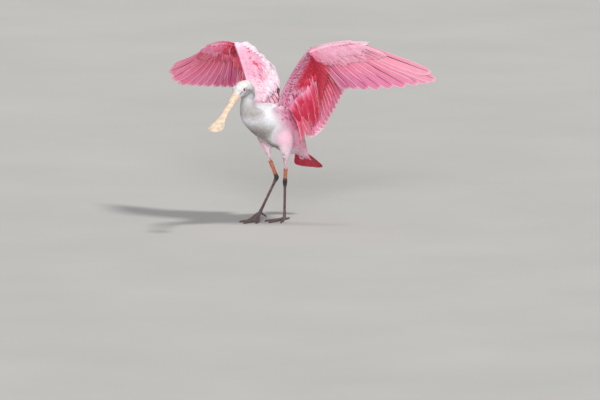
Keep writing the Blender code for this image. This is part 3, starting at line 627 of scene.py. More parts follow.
def feather_material(name, barbs, quill_width, roughness, mottle):
    """Feathers: the tone gives the pink, and the lay gives quill, barbs and rims."""
    nodes = Nodes(name)
    t, s, seed = nodes.parts("lay")
    depth, warm, pale = nodes.parts("tone")
    flat = abs(s)
    depth = depth + (nodes.noise(60.0, 4.0) - 0.5) * mottle
    depth = depth + (seed - 0.5) * (mottle * 0.4)
    colour = pinks(nodes, depth, warm)
    border = nodes.math("MAXIMUM", nodes.span(flat, 0.82, 0.99), nodes.span(t, 0.94, 1.0))
    colour = nodes.mix(border * pale, colour, RIM_COLOUR)
    phase = t * barbs - flat * (barbs * 0.2) + nodes.noise(140.0, 2.0) * 1.6
    stripe = nodes.math("SINE", phase * 6.2832)
    colour = nodes.mix((stripe + 1.0) * 0.035, colour, BARB_COLOUR)
    if quill_width:
        line = 1.0 - nodes.span(flat / ((1.25 - t) * quill_width), 0.55, 1.0)
        if name == "covert_finish":
            line = line * nodes.span(pale, 0.52, 0.60)
        colour = nodes.mix(line * 0.94, colour, QUILL_COLOUR)
    nodes.bump(stripe + nodes.noise(420.0, 2.0), 0.00012, 0.4)
    return nodes.base(colour, roughness, Sheen_Weight=0.03, Sheen_Roughness=0.5, Specular_IOR_Level=0.16)


def skin_material():
    """Wrinkled whitish head skin with its crinkled dark band, a blue-grey of painted shade below the eye,
    and pink skin under the coat.
    """
    nodes = Nodes("bare_skin_finish")
    dark, warm, under = nodes.parts("mark")
    depth, hue, _ = nodes.parts("tone")
    cloud = nodes.noise(90.0, 4.0)
    fine = nodes.noise(620.0, 4.0)
    fold = nodes.span(abs(nodes.noise(430.0, 3.0, 0.6) - 0.5), 0.0, 0.07)
    colour = nodes.ramp(cloud, HEAD_SKIN)
    colour = nodes.mix(warm * 0.8, colour, (0.86, 0.50, 0.44))
    # Creases of the folds darkened a little everywhere, painted shade in them, and more in the dark mark.
    lines = nodes.span(fold, 1.0, 0.0) * (dark * 0.4 + 0.07)
    # Blue-grey by the dark mark: round the black band, and as painted shade below the eye.
    colour = nodes.mix(dark * 0.62, colour, (0.29, 0.33, 0.40))
    colour = nodes.mix(lines, colour, (0.12, 0.12, 0.14))
    # Near-black crinkles where the dark mark is strong: the band's own, and some in the painted shade below
    # the eye.
    wrinkle = abs(nodes.noise(900.0, 3.0, 0.6) - 0.5)
    spread = dark * 0.085 - wrinkle + (cloud - 0.5) * 0.14
    ink = nodes.span(spread, -0.015, 0.035) * nodes.span(dark, 0.25, 0.7)
    colour = nodes.mix(ink * 0.80, colour, (0.07, 0.068, 0.078))
    colour = nodes.mix(under, colour, pinks(nodes, depth, hue))
    nodes.bump(fold + fine * 0.7, 0.00025, 0.55)
    rough = nodes.span(fine, 0.2, 0.8, 0.42, 0.62)
    return nodes.base(colour, rough, Specular_IOR_Level=0.35, Subsurface_Weight=0.06)


def bill_material():
    """Horn, mottled grey-brown and ringed near the base, smooth and paler on the spoon."""
    nodes = Nodes("bill_horn_finish")
    along, across, upper = nodes.parts("lay")
    cloud = nodes.noise(75.0, 4.0)
    speck = nodes.noise(460.0, 4.0)
    horn = nodes.ramp(cloud, HORN)
    low = nodes.mix(nodes.span(upper, 0.45, 0.55), (0.76, 0.54, 0.34), horn)
    colour = nodes.mix(0.75, low, horn)
    grey = nodes.span(speck, 0.50, 0.70) * nodes.span(along, 0.55, 0.05, 0.04, 0.80)
    colour = nodes.mix(grey, colour, (0.24, 0.20, 0.14))
    rings = nodes.math("SINE", along * 210.0) * nodes.span(along, 0.55, 0.12)
    groove = nodes.span(abs(abs(across) - 0.80), 0.06, 0.0)
    colour = nodes.mix(groove * 0.45, colour, (0.22, 0.17, 0.12))
    nodes.bump(rings * 0.5 + speck * 0.8 - groove, 0.0005, 0.7)
    rough = nodes.span(cloud, 0.3, 0.7, 0.36, 0.52)
    return nodes.base(colour, rough, Specular_IOR_Level=0.45, Coat_Weight=0.08)


def eye_material():
    """A dark red iris round a black pupil, under a wet clear coat."""
    nodes = Nodes("eye_finish")
    wide = nodes.attribute("ring") + (nodes.noise(900.0, 2.0) - 0.5) * 0.10
    return nodes.base(nodes.ramp(wide, IRIS), 0.12, Coat_Weight=1.0, Coat_Roughness=0.03)


def leg_material():
    """Orange-red bare skin above, a near-black ankle and a grey-pink scaled shank and foot."""
    nodes = Nodes("leg_finish")
    orange, dark, grey = nodes.parts("mark")
    cloud = nodes.noise(120.0, 4.0)
    scales = nodes.cell_edges(620.0)
    colour = nodes.mix(orange, nodes.ramp(cloud, LEG_GREY), nodes.ramp(cloud, LEG_ORANGE))
    colour = nodes.mix(grey * 0.55, colour, (0.16, 0.14, 0.14))
    colour = nodes.mix(dark * 0.92, colour, (0.035, 0.025, 0.025))
    colour = nodes.mix(nodes.span(scales, 0.09, 0.0) * 0.32, colour, (0.05, 0.028, 0.024))
    nodes.bump(nodes.span(scales, 0.0, 0.16), 0.0006, 0.9)
    return nodes.base(colour, nodes.span(cloud, 0.3, 0.7, 0.40, 0.58), Specular_IOR_Level=0.4)


def claw_material():
    nodes = Nodes("claw_finish")
    colour = nodes.ramp(nodes.noise(500.0), ((0.35, (0.03, 0.025, 0.025)), (0.7, (0.11, 0.08, 0.07))))
    return nodes.base(colour, 0.32, Specular_IOR_Level=0.5)


def floor_material():
    nodes = Nodes("floor_finish")
    colour = nodes.ramp(nodes.noise(2.0, 4.0), ((0.3, (0.50, 0.50, 0.49)), (0.7, (0.54, 0.535, 0.52))))
    return nodes.base(colour, 0.8, Specular_IOR_Level=0.1)


# The wings, worked out as a left wing in the bird's own place

def wing_lines(side):
    """Roots, tips and upper sides of the flight feathers, from the outermost primary inward."""
    data = {key: points(value) for key, value in WING[side].items()}
    hand_tips = data["hand_tips"]
    places = 0.08 + 0.88 * np.arange(PRIMARY_COUNT) / (PRIMARY_COUNT - 1)
    hand = data["wrist"] + (data["hand_end"] - data["wrist"]) * places[:, None]
    hand = (hand + unit(hand_tips - hand) * 6.0 * MM)[::-1]
    ulna = forearm(data, 0.14 + 0.86 * np.arange(ULNA_FEATHER_COUNT) / (ULNA_FEATHER_COUNT - 1))
    rest = np.arange(1, ARM_FEATHER_COUNT - ULNA_FEATHER_COUNT + 1)[:, None]
    inner = data["elbow"] + (data["shoulder"] - data["elbow"]) * 0.70 * rest / len(rest)
    inner = inner + np.array([0.9 * MM, 0.0, 0.0]) * rest
    roots = np.concatenate([hand, ulna, inner])
    tips = np.concatenate([hand_tips[::-1], curve(data["arm_tips"], ARM_FEATHER_COUNT)])
    one = np.maximum(np.arange(len(roots)) - 1, 0)
    two = np.minimum(np.arange(len(roots)) + 1, len(roots) - 1)
    outward = (roots[one] - roots[two]) + (tips[one] - tips[two])
    normals = unit(np.cross(outward, tips - roots))
    for _ in range(4):
        padded = np.concatenate([normals[:1], normals, normals[-1:]])
        normals = unit(padded[:-2] + padded[1:-1] * 2 + padded[2:])
    # The far (right) wing is painted deeper pink than the near one: painted shade, as that wing lies in
    # shadow.
    far_wing_shade = 0.0 if side == "left" else 0.05
    return {"data": data, "roots": roots, "tips": tips, "normals": normals, "far_wing_shade": far_wing_shade}


def forearm(data, share):
    """Places along the bowed forearm, from the wrist to the elbow."""
    share = np.asarray(share, float)[:, None]
    straight = data["wrist"] + (data["elbow"] - data["wrist"]) * share
    return straight + np.array(FOREARM_BOW) * MM * (4.0 * share * (1.0 - share)) ** 0.7


def section(front, bone, rear, ahead, behind, thin_front, thick, thin_rear):
    """Upper and lower points of one wing section, from front to rear."""
    on = unit(ahead + behind)
    places = np.stack([front, (front + bone) / 2, bone, (bone + rear) / 2, rear])
    ups = np.stack([
        ahead * thin_front, ahead * (thin_front + thick) / 2, on * thick,
        behind * (thick + thin_rear) / 2, behind * thin_rear,
    ])
    downs = np.array([1.0, 0.72, 0.7, 0.72, 1.0])[:, None]
    return np.stack([places + ups, places - ups * downs])


def arm_rows(wing):
    """Front, bone and rear of the inner wing from the body to the wrist, and the feather place of each."""
    data = wing["data"]
    lead = curve(data["lead"], 41)
    tip_places = len(wing["tips"]) - PRIMARY_COUNT - 1
    tips = wing["tips"][PRIMARY_COUNT:]
    rows, places = [], []
    for share, span in ARM_STATIONS:
        front = at(lead, share)
        if share < ELBOW_SHARE:
            bone = data["shoulder"] + (data["elbow"] - data["shoulder"]) * (share / ELBOW_SHARE) ** 0.9
            inward = 1.0 - max(0.0, share - 0.1) / (ELBOW_SHARE - 0.1)
            place = ULNA_FEATHER_COUNT - 1 + (ARM_FEATHER_COUNT - ULNA_FEATHER_COUNT) * inward
        else:
            back = 1.0 - (share - ELBOW_SHARE) / (1.0 - ELBOW_SHARE)
            bone = forearm(data, [back])[0]
            place = (back - 0.14) / 0.86 * (ULNA_FEATHER_COUNT - 1)
        rear = bone + (at(tips, place / tip_places) - bone) * span
        rows.append((front, bone, rear))
        places.append(max(place, -0.9) + PRIMARY_COUNT)
    first, last = points(WING_ROOT)
    rows.insert(0, (first, first * 0.55 + last * 0.45, last))
    places.insert(0, places[0] + 1.0)
    return np.array(rows), np.array(places)


def arm_sections(wing):
    """The inner wing as a part: its sections, and the feather place of each."""
    rows, places = arm_rows(wing)
    out = []
    for i, (front, bone, rear) in enumerate(rows):
        step = rows[min(i + 1, len(rows) - 1)] - rows[max(i - 1, 0)]
        ahead = unit(np.cross(step[0] + step[1], bone - front))
        behind = unit(np.cross(step[1] + step[2], rear - bone))
        if i == 0:
            ahead = behind = unit(np.array([-0.5, 0.32, 0.72]))
        if i > len(rows) - 4:
            ahead = behind = unit(np.cross(step[0] + step[1], rear - front))
        thick = (10.0 - 4.0 * i / (len(rows) - 1)) * MM
        out.append(section(front, bone, rear, ahead, behind, 2.6 * MM, thick, 1.0 * MM))
    return {"name": "arm", "wing": wing, "sections": np.array(out), "places": places}


def hand_sections(wing):
    """The outer wing, in the same way, from the wrist to the hand's end."""
    data = wing["data"]
    fronts = curve(data["hand_lead"], 21)
    rows, places = [], []
    for share in HAND_STATIONS:
        front, tip = at(fronts, share), at(data["hand_tips"], share)
        bone = data["wrist"] + (data["hand_end"] - data["wrist"]) * share
        bone = bone + unit(tip - bone) * 8.0 * MM
        rear = bone + (tip - bone) * 0.15
        normal = unit(np.cross(data["hand_end"] - data["wrist"], rear - front))
        scale = 1.0 - 0.45 * share
        rows.append(section(front, bone, rear, normal, normal, 2.4 * MM * scale, 5.6 * MM * scale, 0.9 * MM))
        places.append((1.0 - share) * 9.0)
    return {"name": "hand", "wing": wing, "sections": np.array(rows), "places": np.array(places)}


def wing_core(part, side):
    """A part's flesh as a closed body, with the tone of the coverts over each point."""
    sections = part["sections"]
    u = np.repeat(np.linspace(0.0, 1.0, len(sections)), 5)
    tones = []
    for face in (ABOVE, BELOW):
        place = sections[:, face]
        back = np.linalg.norm(place - place[:, :1], axis=2).ravel() / MM
        depth, warm = covert_tone(part, face, u, back, np.full(len(u), 0.5))
        tones.append(np.stack([depth, warm, 0.0 * warm], -1).reshape(len(sections), 5, 3))
    ringed = lambda rows: np.concatenate([rows[ABOVE], rows[BELOW][:, ::-1]], axis=1)
    verts, tris = loft(ringed(sections.swapaxes(0, 1)))
    if side == "right":
        verts, tris = verts * MIRROR, tris[:, ::-1]
    return verts, tris, ringed(tones).reshape(-1, 3)


def on_surface(part, u, c, face):
    """Places on a part's flesh: u from its first section to the last, c from front to rear."""
    sections = part["sections"][:, face]
    rows = sample(sections, u * (len(sections) - 1))
    c = np.clip(c, 0.0, 1.0) * 4.0 + 0.0 * u
    low = np.minimum(c.astype(int), 3)
    share = (c - low)[:, None]
    index = np.arange(len(u))
    return rows[index, low] * (1.0 - share) + rows[index, low + 1] * share


def feather_at(wing, place):
    """Root, tip and upper side of the flight feather at fractional places."""
    return (sample(wing[key], place) for key in ("roots", "tips", "normals"))


def innermost(place):
    """How far into the last three flight feathers a place is."""
    return np.clip(place - (PRIMARY_COUNT + ARM_FEATHER_COUNT - 4), 0.0, 3.0)


def flight_bow(place):
    """How high the flight feathers arch, as a share of their length."""
    outer = np.clip(1.0 - place / (PRIMARY_COUNT - 1), 0.0, 1.0)
    return 0.035 + 0.02 * outer + 0.006 * innermost(place)


def strips(count, width=0.46):
    """Bake places for long feathers, one upright strip for each."""
    wide = ((np.arange(count) + 0.5)[:, None] + FLIGHT["s"][None, :] * width) / count
    return np.stack([wide, np.broadcast_to(0.02 + 0.96 * FLIGHT["t"][None, :], wide.shape)], -1)


def lie(part, u, c, face, step_u=0.02, step_c=0.1):
    """Places on a part's flesh, with the ways outward along the wing, to the rear and out of the skin."""
    here = on_surface(part, u, c, face)
    run = on_surface(part, u + step_u, c, face) - on_surface(part, u - step_u, c, face)
    back = on_surface(part, u, c + step_c, face) - on_surface(part, u, c - step_c, face)
    up = unit(np.cross(run, back))
    up = up * np.sign(dot(up, here - on_surface(part, u, c, 1 - face)))
    return here, unit(run), unit(back), up


def flight_way(part, u, back, up, share):
    """Ways along the skin: to the rear, and by a share along the flight feathers there."""
    places = part["places"]
    root, tip, _ = feather_at(part["wing"], sample(places[:, None], u * (len(places) - 1))[:, 0])
    along = back * (1.0 - share) + unit(tip - root) * share
    return unit(along - up * dot(along, up))


def spots(part, u, c):
    """Bake places over one face of the wing, the arm's before the hand's."""
    return np.stack([0.62 * u if part["name"] == "arm" else 0.64 + 0.36 * u, 0.86 * c + 0.0 * u], -1)


def primaries(wing, rng):
    place = np.arange(PRIMARY_COUNT, dtype=float)
    root, tip, normal = feather_at(wing, place)
    outer = 1.0 - place / (PRIMARY_COUNT - 1)
    t = FLIGHT["t"][None, :]
    inner = 1.0 - outer[:, None]
    # On the far wing the primaries get deeper pink, most at the roots: painted shade.
    far_wing_shade = wing["far_wing_shade"]
    depth = 0.44 + far_wing_shade + (0.14 + far_wing_shade) * inner + (0.06 + far_wing_shade * 2.0) * (1.0 - t)
    depth = depth + 0.10 * smooth(0.5, 1.0, t) * inner
    warm = 0.45 + 0.2 * (1.0 - t) - 0.60 * smooth(0.30, 0.85, t) * inner
    block = feathers(
        FLIGHT, root, tip - root, normal, None, 11.0 * MM, (depth, warm, 0.40), rng,
        trail=(20.5 - 0.9 * outer) * MM, bow=flight_bow(place), sweep=0.045 * outer ** 2, lean=5.5,
        dome=0.05, thick=0.7 * MM, ridge=0.55 * MM, ragged=0.04, grow=0.45,
    )
    block["uv"] = strips(PRIMARY_COUNT)
    return block


def secondaries(wing, rng):
    place = np.arange(PRIMARY_COUNT, PRIMARY_COUNT + ARM_FEATHER_COUNT, dtype=float)
    root, tip, normal = feather_at(wing, place)
    lift = (np.maximum(1.2, 5.6 - 1.1 * (place - PRIMARY_COUNT)) * MM)[:, None] * normal
    t = FLIGHT["t"][None, :]
    # On the far wing a little painted shade deepens the secondaries' pink.
    depth = 0.68 + wing["far_wing_shade"] * 0.3 - 0.16 * smooth(0.60, 1.0, t)
    depth = depth + rng.normal(0.0, 0.03, (len(place), 1))
    warm = 0.95 - 0.75 * smooth(0.50, 0.95, t) + 0.0 * depth
    block = feathers(
        FLIGHT, root + lift, tip - root, normal, None, 10.5 * MM, (depth, warm, 0.75), rng,
        trail=(18.5 - 3.5 * innermost(place)) * MM, bow=flight_bow(place), lean=6.0, dome=0.06,
        thick=0.6 * MM, ridge=0.45 * MM, ragged=0.06,
    )
    block["uv"] = strips(ARM_FEATHER_COUNT)
    return block


def follow_row(wing, rng, places, reach, half, lift, tone, face, row):
    """Coverts that lie along the flight feathers, out to a share of their length."""
    root, tip, normal = feather_at(wing, places)
    count = len(places)
    above = face == ABOVE
    side = 1.0 if above else -1.0
    if above:
        half = half * (1.0 - 0.45 * smooth(21.0, 26.0, places))
    normal = normal * side
    whole = np.linalg.norm(tip - root, axis=1)
    bow = flight_bow(places) * side
    end = np.clip(reach + rng.normal(0.0, 0.025, count), 0.05, 0.95)
    along = unit(tip - root)
    arched = (bow * 4.0 * end * (1.0 - end) * whole)[:, None]
    one = root + normal * lift[0]
    two = root + along * (end * whole)[:, None] + normal * (arched + lift[1])
    two = two + np.cross(along, normal) * rng.normal(0.0, 2.0 * MM, (count, 1))
    if above:
        raised = smooth(0.55, 1.0, rng.random(count)) * smooth(9.0, 11.0, places)
        two = two + normal * raised[:, None] * 13.0 * MM
    run = np.linalg.norm(two - one, axis=1)
    spot = np.stack([(places - places.min()) / np.ptp(places), np.full(count, row)], -1)
    return feathers(
        COVERT, one, two - one, normal, run, half * (1.0 + rng.normal(0.0, 0.08, count)), tone, rng,
        spot=spot, patch=0.012, bow=bow * whole / run * (end * (1.0 - end)) + 0.03,
        lean=6.0 * side, dome=0.10, thick=0.45 * MM, ridge=0.15 * MM, ragged=0.10,
    )


def covert_rows(wing, rng, covers):
    """The rows of coverts that lie along the flight feathers, on the hand and on the arm."""
    last = PRIMARY_COUNT + ARM_FEATHER_COUNT - 1
    steps = (np.arange(0.2, PRIMARY_COUNT - 0.3, 0.55), np.arange(PRIMARY_COUNT - 0.3, last, 0.55))
    for face, reaches, half, lift, depths, warmths, row in COVERT_ROWS:
        for hand, places, reach, depth, warm in zip((True, False), steps, reaches, depths, warmths):
            pale = 0.5 if face == ABOVE else 0.62 if hand else 0.3
            # The far wing's under hand coverts get much deeper pink: painted shade.
            extra = wing["far_wing_shade"] * 4.5 if hand and face == BELOW else 0.0
            tone = (depth + extra + rng.normal(0.0, 0.04, len(places)), warm + extra, pale)
            block = follow_row(wing, rng, places, reach, half * MM, points(lift), tone, face, row)
            covers[face].append(block)


def covert_tone(part, face, u, back, chance):
    """Depth and warmth of wing coverts: u runs outward, back is the distance behind the edge in mm."""
    if face == ABOVE:
        streak = ramped(0.78, 0.90, chance) * smooth(16.0, 34.0, back) * smooth(75.0, 50.0, back)
        middle = smooth(0.15, 0.45, u) * smooth(1.0, 0.7, u) if part["name"] == "arm" else 0.5
        pale = ramped(0.30, 0.0, chance)
        depth = 0.15 + 0.25 * middle * smooth(95.0, 62.0, back) + 0.30 * streak - 0.10 * pale
        warm = 0.22 + 0.55 * streak
    elif part["name"] == "arm":
        lining = smooth(26.0, 46.0, back) * smooth(0.10, 0.34, u)
        # dark: random under coverts near the leading edge painted deep mauve, as painted shadow between
        # ruffled feathers.
        dark = ramped(0.42, 0.87, chance) * (1.0 - lining)
        depth = 0.40 + 0.36 * lining + 0.42 * dark + 0.08 * smooth(0.80, 1.0, u)
        warm = 0.10 + 0.80 * lining + 0.2 * smooth(0.80, 1.0, u)
    else:
        base = smooth(0.45, 0.0, u)
        # dark: random tufts painted deeper, as painted shadow between ruffled feathers, most at the wrist.
        dark = ramped(0.60, 0.95, chance)
        depth = 0.40 + 0.18 * base + 0.18 * dark * (0.35 + 0.65 * base)
        warm = 0.30 + 0.20 * base
        depth = depth * (0.35 + 0.65 * smooth(-2.0, 9.0, back))
    return depth, np.clip(warm, 0.0, 1.0)


def covert_tones(part, face, u, deep, rng):
    """The tone of small coverts: depth, warmth and pale rim."""
    hand = part["name"] == "hand"
    depth, warm = covert_tone(part, face, u, deep / MM, rng.random(len(u)))
    if hand and face == BELOW:
        # The far wing's under hand coverts: deeper and warmer toward the wrist, painted shade.
        far_wing_shade = part["wing"]["far_wing_shade"]
        depth = depth + far_wing_shade * (2.4 + 5.0 * smooth(0.75, 0.1, u))
        warm = warm + far_wing_shade * 8.0 * smooth(0.75, 0.1, u)
    return depth + rng.normal(0.0, 0.03, len(u)), warm, 0.40 if hand else 0.25


def thinned(place, spacing):
    """One of the points for each cell of the spacing."""
    cell = np.floor(place / spacing).astype(np.int64)
    key = (cell[:, 0] * 73856093) ^ (cell[:, 1] * 19349663) ^ (cell[:, 2] * 83492791)
    return np.unique(key, return_index=True)[1]


def wing_cover(part, face, rng):
    """Small coverts over one face of the wing's flesh, shorter and closer toward the leading edge."""
    u, c = rng.random((2, 40000))
    c = c * COVERT_REACH[part["name"]][face]
    here = on_surface(part, u, c, face)
    deep = np.linalg.norm(here - on_surface(part, u, 0.0, face), axis=1)
    blocks, near = [], 0.0
    for far, spacing, length, half in COVERT_BANDS[part["name"]]:
        band = np.flatnonzero((deep >= near * MM) & (deep < far * MM))
        near = far
        if len(band):
            pick = band[thinned(here[band], spacing * MM)]
            blocks.append(cover_band(part, face, rng, u[pick], c[pick], deep[pick], length, half))
    return blocks


def cover_band(part, face, rng, u, c, deep, length, half):
    """One band of small coverts, rooted at the given places."""
    arm = part["name"] == "arm"
    here, _, back, up = lie(part, u, c, face, 0.03, 0.06)
    turn = 0.20 + 0.65 * smooth(8.0 * MM, (80.0 if arm else 26.0) * MM, deep)
    along = flight_way(part, u, back, up, turn[:, None])
    along = unit(along + np.cross(up, along) * rng.normal(0.0, 0.14, (len(u), 1)))
    rear = smooth(0.5, 0.85, c)
    rise = (0.10 + 0.12 * rng.random((len(u), 1))) * (1.0 - 0.6 * rear[:, None])
    size = length * MM * (1.0 + 0.15 * rear + rng.normal(0.0, 0.10, len(u)))
    size = size * (0.75 + 0.25 * smooth(0.02, 0.2, u))
    if arm and face == ABOVE:
        ruffled = (rng.random(len(u)) > 0.70) * smooth(0.3, 0.5, c)
        rise = rise + 0.52 * ruffled[:, None]
    shape, patch = (TUFT, PATCH) if length < 20.0 else (COVERT, COVERT_PATCH)
    half = half * MM * (1.0 + rng.normal(0.0, 0.08, len(u)))
    return feathers(
        shape, here - up * 0.7 * MM, along + up * rise, up, size, half,
        covert_tones(part, face, u, deep, rng), rng, spot=spots(part, u, c), patch=patch, bow=0.04,
        curl=rise[:, 0] * 0.9, lean=rng.normal(0.0, 5.0, len(u)), dome=0.18, thick=0.35 * MM, ragged=0.15,
    )


def ruffle_rows(part, rng):
    """Rows of raised feathers along the arm's upper side, as the bird fluffs them."""
    steps = 15
    c = np.repeat([0.42, 0.55, 0.68, 0.78], steps)
    u = 0.10 + 0.84 * (np.tile(np.arange(steps), 4) + rng.random(len(c)) * 0.5) / steps
    c = c + rng.normal(0.0, 0.015, len(c))
    here, _, back, up = lie(part, u, c, ABOVE)
    along = flight_way(part, u, back, up, 0.5)
    rise = 0.45 + 0.35 * rng.random(len(c))
    return feathers(
        COVERT, here - up * 0.8 * MM, along + up * rise[:, None], up, (21.0 + 6.0 * rng.random(len(c))) * MM,
        7.0 * MM, (0.08 + 0.14 * rng.random(len(c)), 0.2, 0.5), rng, spot=spots(part, u, c),
        patch=COVERT_PATCH, bow=0.06, curl=rise * 0.8, lean=rng.normal(0.0, 5.0, len(c)), dome=0.2,
        ragged=0.12,
    )


def edge_row(part, face, rng):
    """Tiny feathers that wrap the leading edge, laid outward along the wing and round to one face."""
    arm = part["name"] == "arm"
    count = 120 if arm else 80
    u = (np.arange(count) + rng.random(count)) / count
    if arm:
        u = 0.06 + 0.94 * u
    front, run, back, _ = lie(part, u, 0.0, face)
    other = on_surface(part, u, 0.0, 1 - face)
    tone = covert_tones(part, face, u, np.full(count, 6.0 * MM), rng)
    return feathers(
        TUFT, front * 0.75 + other * 0.25 - back * 2.2 * MM, run * 0.55 + back * 0.75,
        unit(front - other) * 0.8 - back * 0.6, (9.0 + 3.0 * rng.random(count)) * MM, 2.8 * MM, tone, rng,
        spot=spots(part, u, 0.002 / 0.86), bow=0.10, curl=0.10, dome=0.3, ragged=0.15,
    )


def shoulder_row(arm, face, rng):
    """Feathers that run from the body out over the root of the wing."""
    count = 90
    c, set_back = rng.random((2, count))
    c = 0.12 + 0.88 * c
    start, run, back, up = lie(arm, 0.0 * c, c, face, 0.12, 1.0)
    along = unit(run * 0.85 + back * (0.2 + 0.35 * rng.random((count, 1))) + up * 0.06)
    root = start + run * (16.0 * set_back[:, None] - 12.0) * MM - up * 1.2 * MM
    depth, warm = covert_tone(arm, face, 0.12 + 0.0 * c, 12.0 + 14.0 * c, rng.random(count) * 0.8)
    long = (22.0 + 8.0 * rng.random(count)) * (0.5 + 0.5 * smooth(0.12, 0.45, c))
    return feathers(
        COVERT, root, along, up, long * MM, long * 0.17 * MM, (depth - 0.10, warm, 0.2), rng,
        spot=np.stack([0.02 * set_back, 0.86 * c], -1), patch=COVERT_PATCH, bow=0.05, curl=0.12,
        lean=rng.normal(0.0, 6.0, count), dome=0.2, ragged=0.15,
    )


def axillaries(arm, rng):
    """Long white-edged feathers from the armpit, under the innermost flight feathers, and their cover."""
    count, fill = 30, 16
    k = (np.arange(count) + rng.random(count)) / count
    u, c = 0.03 + 0.40 * k, 0.32 + 0.18 * rng.random(count)
    root = on_surface(arm, u, c, BELOW)
    deep = np.linalg.norm(root - on_surface(arm, u, 0.0, BELOW), axis=1)
    u, deep = (np.concatenate([v, np.full(fill, v[0])]) for v in (u, deep))
    line_root, line_tip, normal = feather_at(arm["wing"], PRIMARY_COUNT + ARM_FEATHER_COUNT - 1 - 7.0 * k)
    share = (0.50 + 0.32 * rng.random(count))[:, None]
    tip = line_root + (line_tip - line_root) * share - normal * (3.0 + 3.0 * rng.random((count, 1))) * MM
    tip = tip + points((-9.0, -6.0, -4.0)) * (1.0 - k)[:, None]
    jitter = rng.normal(0.0, 3.0, (fill, 3)) * MM
    root, tip = (
        np.concatenate([ends, np.linspace(*points(added), fill) + jitter])
        for ends, added in zip((root, tip), ARMPIT)
    )
    normal = np.concatenate([normal, np.repeat(arm["wing"]["normals"][-1:], fill, axis=0)])
    count += fill
    edged = rng.random(count) > 0.55
    depth = 0.70 + 0.12 * rng.random(count) - 0.14 * (np.arange(count) >= count - fill)
    t = COVERT["t"][None, :]
    below = smooth(0.08, 0.42, t)
    depth = 0.42 + (depth[:, None] - 0.38) * below - 0.14 * smooth(0.72, 1.0, t)
    border = (0.2 + 0.8 * edged)[:, None] * (0.4 + 0.6 * smooth(0.3, 0.8, t))
    spot = np.stack([np.arange(count) / count, np.full(count, 0.995)], -1)
    long = feathers(
        COVERT, root + normal * 2.4 * MM, tip - root, -normal, None, (5.6 + 2.2 * rng.random(count)) * MM,
        (depth, 0.12 + 0.70 * below + 0.0 * depth, border), rng, spot=spot, patch=0.012, bow=0.07,
        sweep=rng.normal(0.03, 0.02, count), lean=rng.normal(-4.0, 3.0, count), dome=0.16, thick=0.45 * MM,
        ridge=0.2 * MM, ragged=0.16,
    )
    return [long, armpit_cover(arm, root, unit(tip - root), -normal, u, deep, spot, rng)]


def armpit_cover(arm, root, way, out, u, deep, spot, rng):
    """Short feathers over the roots of the axillaries, four for each."""
    root, way, out, u, deep, spot = (np.repeat(v, 4, axis=0) for v in (root, way, out, u, deep, spot))
    count = len(root)
    root = root + np.cross(way, out) * rng.normal(0.0, 5.0, (count, 1)) * MM
    root = root - way * (5.0 + 10.0 * rng.random((count, 1))) * MM + out * 0.2 * MM
    depth, warm = covert_tone(arm, BELOW, u, deep / MM, rng.random(count))
    return feathers(
        COVERT, root, way + out * 0.16, out, (20.0 + 9.0 * rng.random(count)) * MM, 4.6 * MM,
        (depth, warm, 0.2), rng, spot=spot * np.array([1.0, 0.96]), patch=COVERT_PATCH, bow=0.05, curl=0.18,
        lean=rng.normal(0.0, 6.0, count), dome=0.2, ragged=0.16,
    )


def alula(wing, rng):
    root = sample(curve(wing["data"]["hand_lead"], 21), np.array([7.0]))
    return feathers(
        COVERT, root, wing["data"]["alula_tip"] - root, wing["normals"][3:4], None, 6.0 * MM,
        (0.16, 0.4, 0.6), rng, spot=np.array([[0.995, 0.5]]), patch=0.008, trail=11.0 * MM, bow=0.03,
        sweep=0.03, lean=4.0, thick=0.5 * MM, ridge=0.3 * MM,
    )


def wing_pieces(side, rng, flight, covert):
    """Flight feathers and coverts of one wing as joined meshes. Returns its flesh for the skin."""
    wing = wing_lines(side)
    parts = (arm_sections(wing), hand_sections(wing))
    arm = parts[0]
    covers = ([], [])
    covert_rows(wing, rng, covers)
    for part in parts:
        for face in (ABOVE, BELOW):
            covers[face].extend(wing_cover(part, face, rng))
            covers[face].append(edge_row(part, face, rng))
    for face in (ABOVE, BELOW):
        covers[face].append(shoulder_row(arm, face, rng))
    covers[ABOVE].append(ruffle_rows(arm, rng))
    covers[BELOW].extend(axillaries(arm, rng))
    pieces = (
        ("primaries", [primaries(wing, rng), alula(wing, rng)], flight, (f"wing_{side}_hand",)),
        ("secondaries", [secondaries(wing, rng)], flight, (f"wing_{side}_arm",)),
        ("upper_coverts", covers[ABOVE], covert, ()),
        ("under_coverts", covers[BELOW], covert, ()),
    )
    for name, blocks, material, replaced in pieces:
        if side == "right":
            blocks = [mirrored(b) for b in blocks]
        feather_object(f"wing_{side}_{name}", blocks, material, replaced)
    return [wing_core(part, side) for part in parts]


# Tail

def tail_sections():
    """The rings of the tail's core, their centres, and the ways along and up at its end."""
    place = points(TAIL_ROOT)
    reached = 0.0
    rings, centres = [], []
    for reach, angle, wide, deep in TAIL_CORE:
        a = math.radians(angle)
        away = np.array([0.0, math.cos(a), -math.sin(a)])
        up = np.array([0.0, math.sin(a), math.cos(a)])
        place = place + away * (reach - reached) * MM
        reached = reach
        rings.append(place + circle(20, points((wide, 0.0, 0.0)), up * deep * MM))
        centres.append(place)
    return rings, centres, away, up


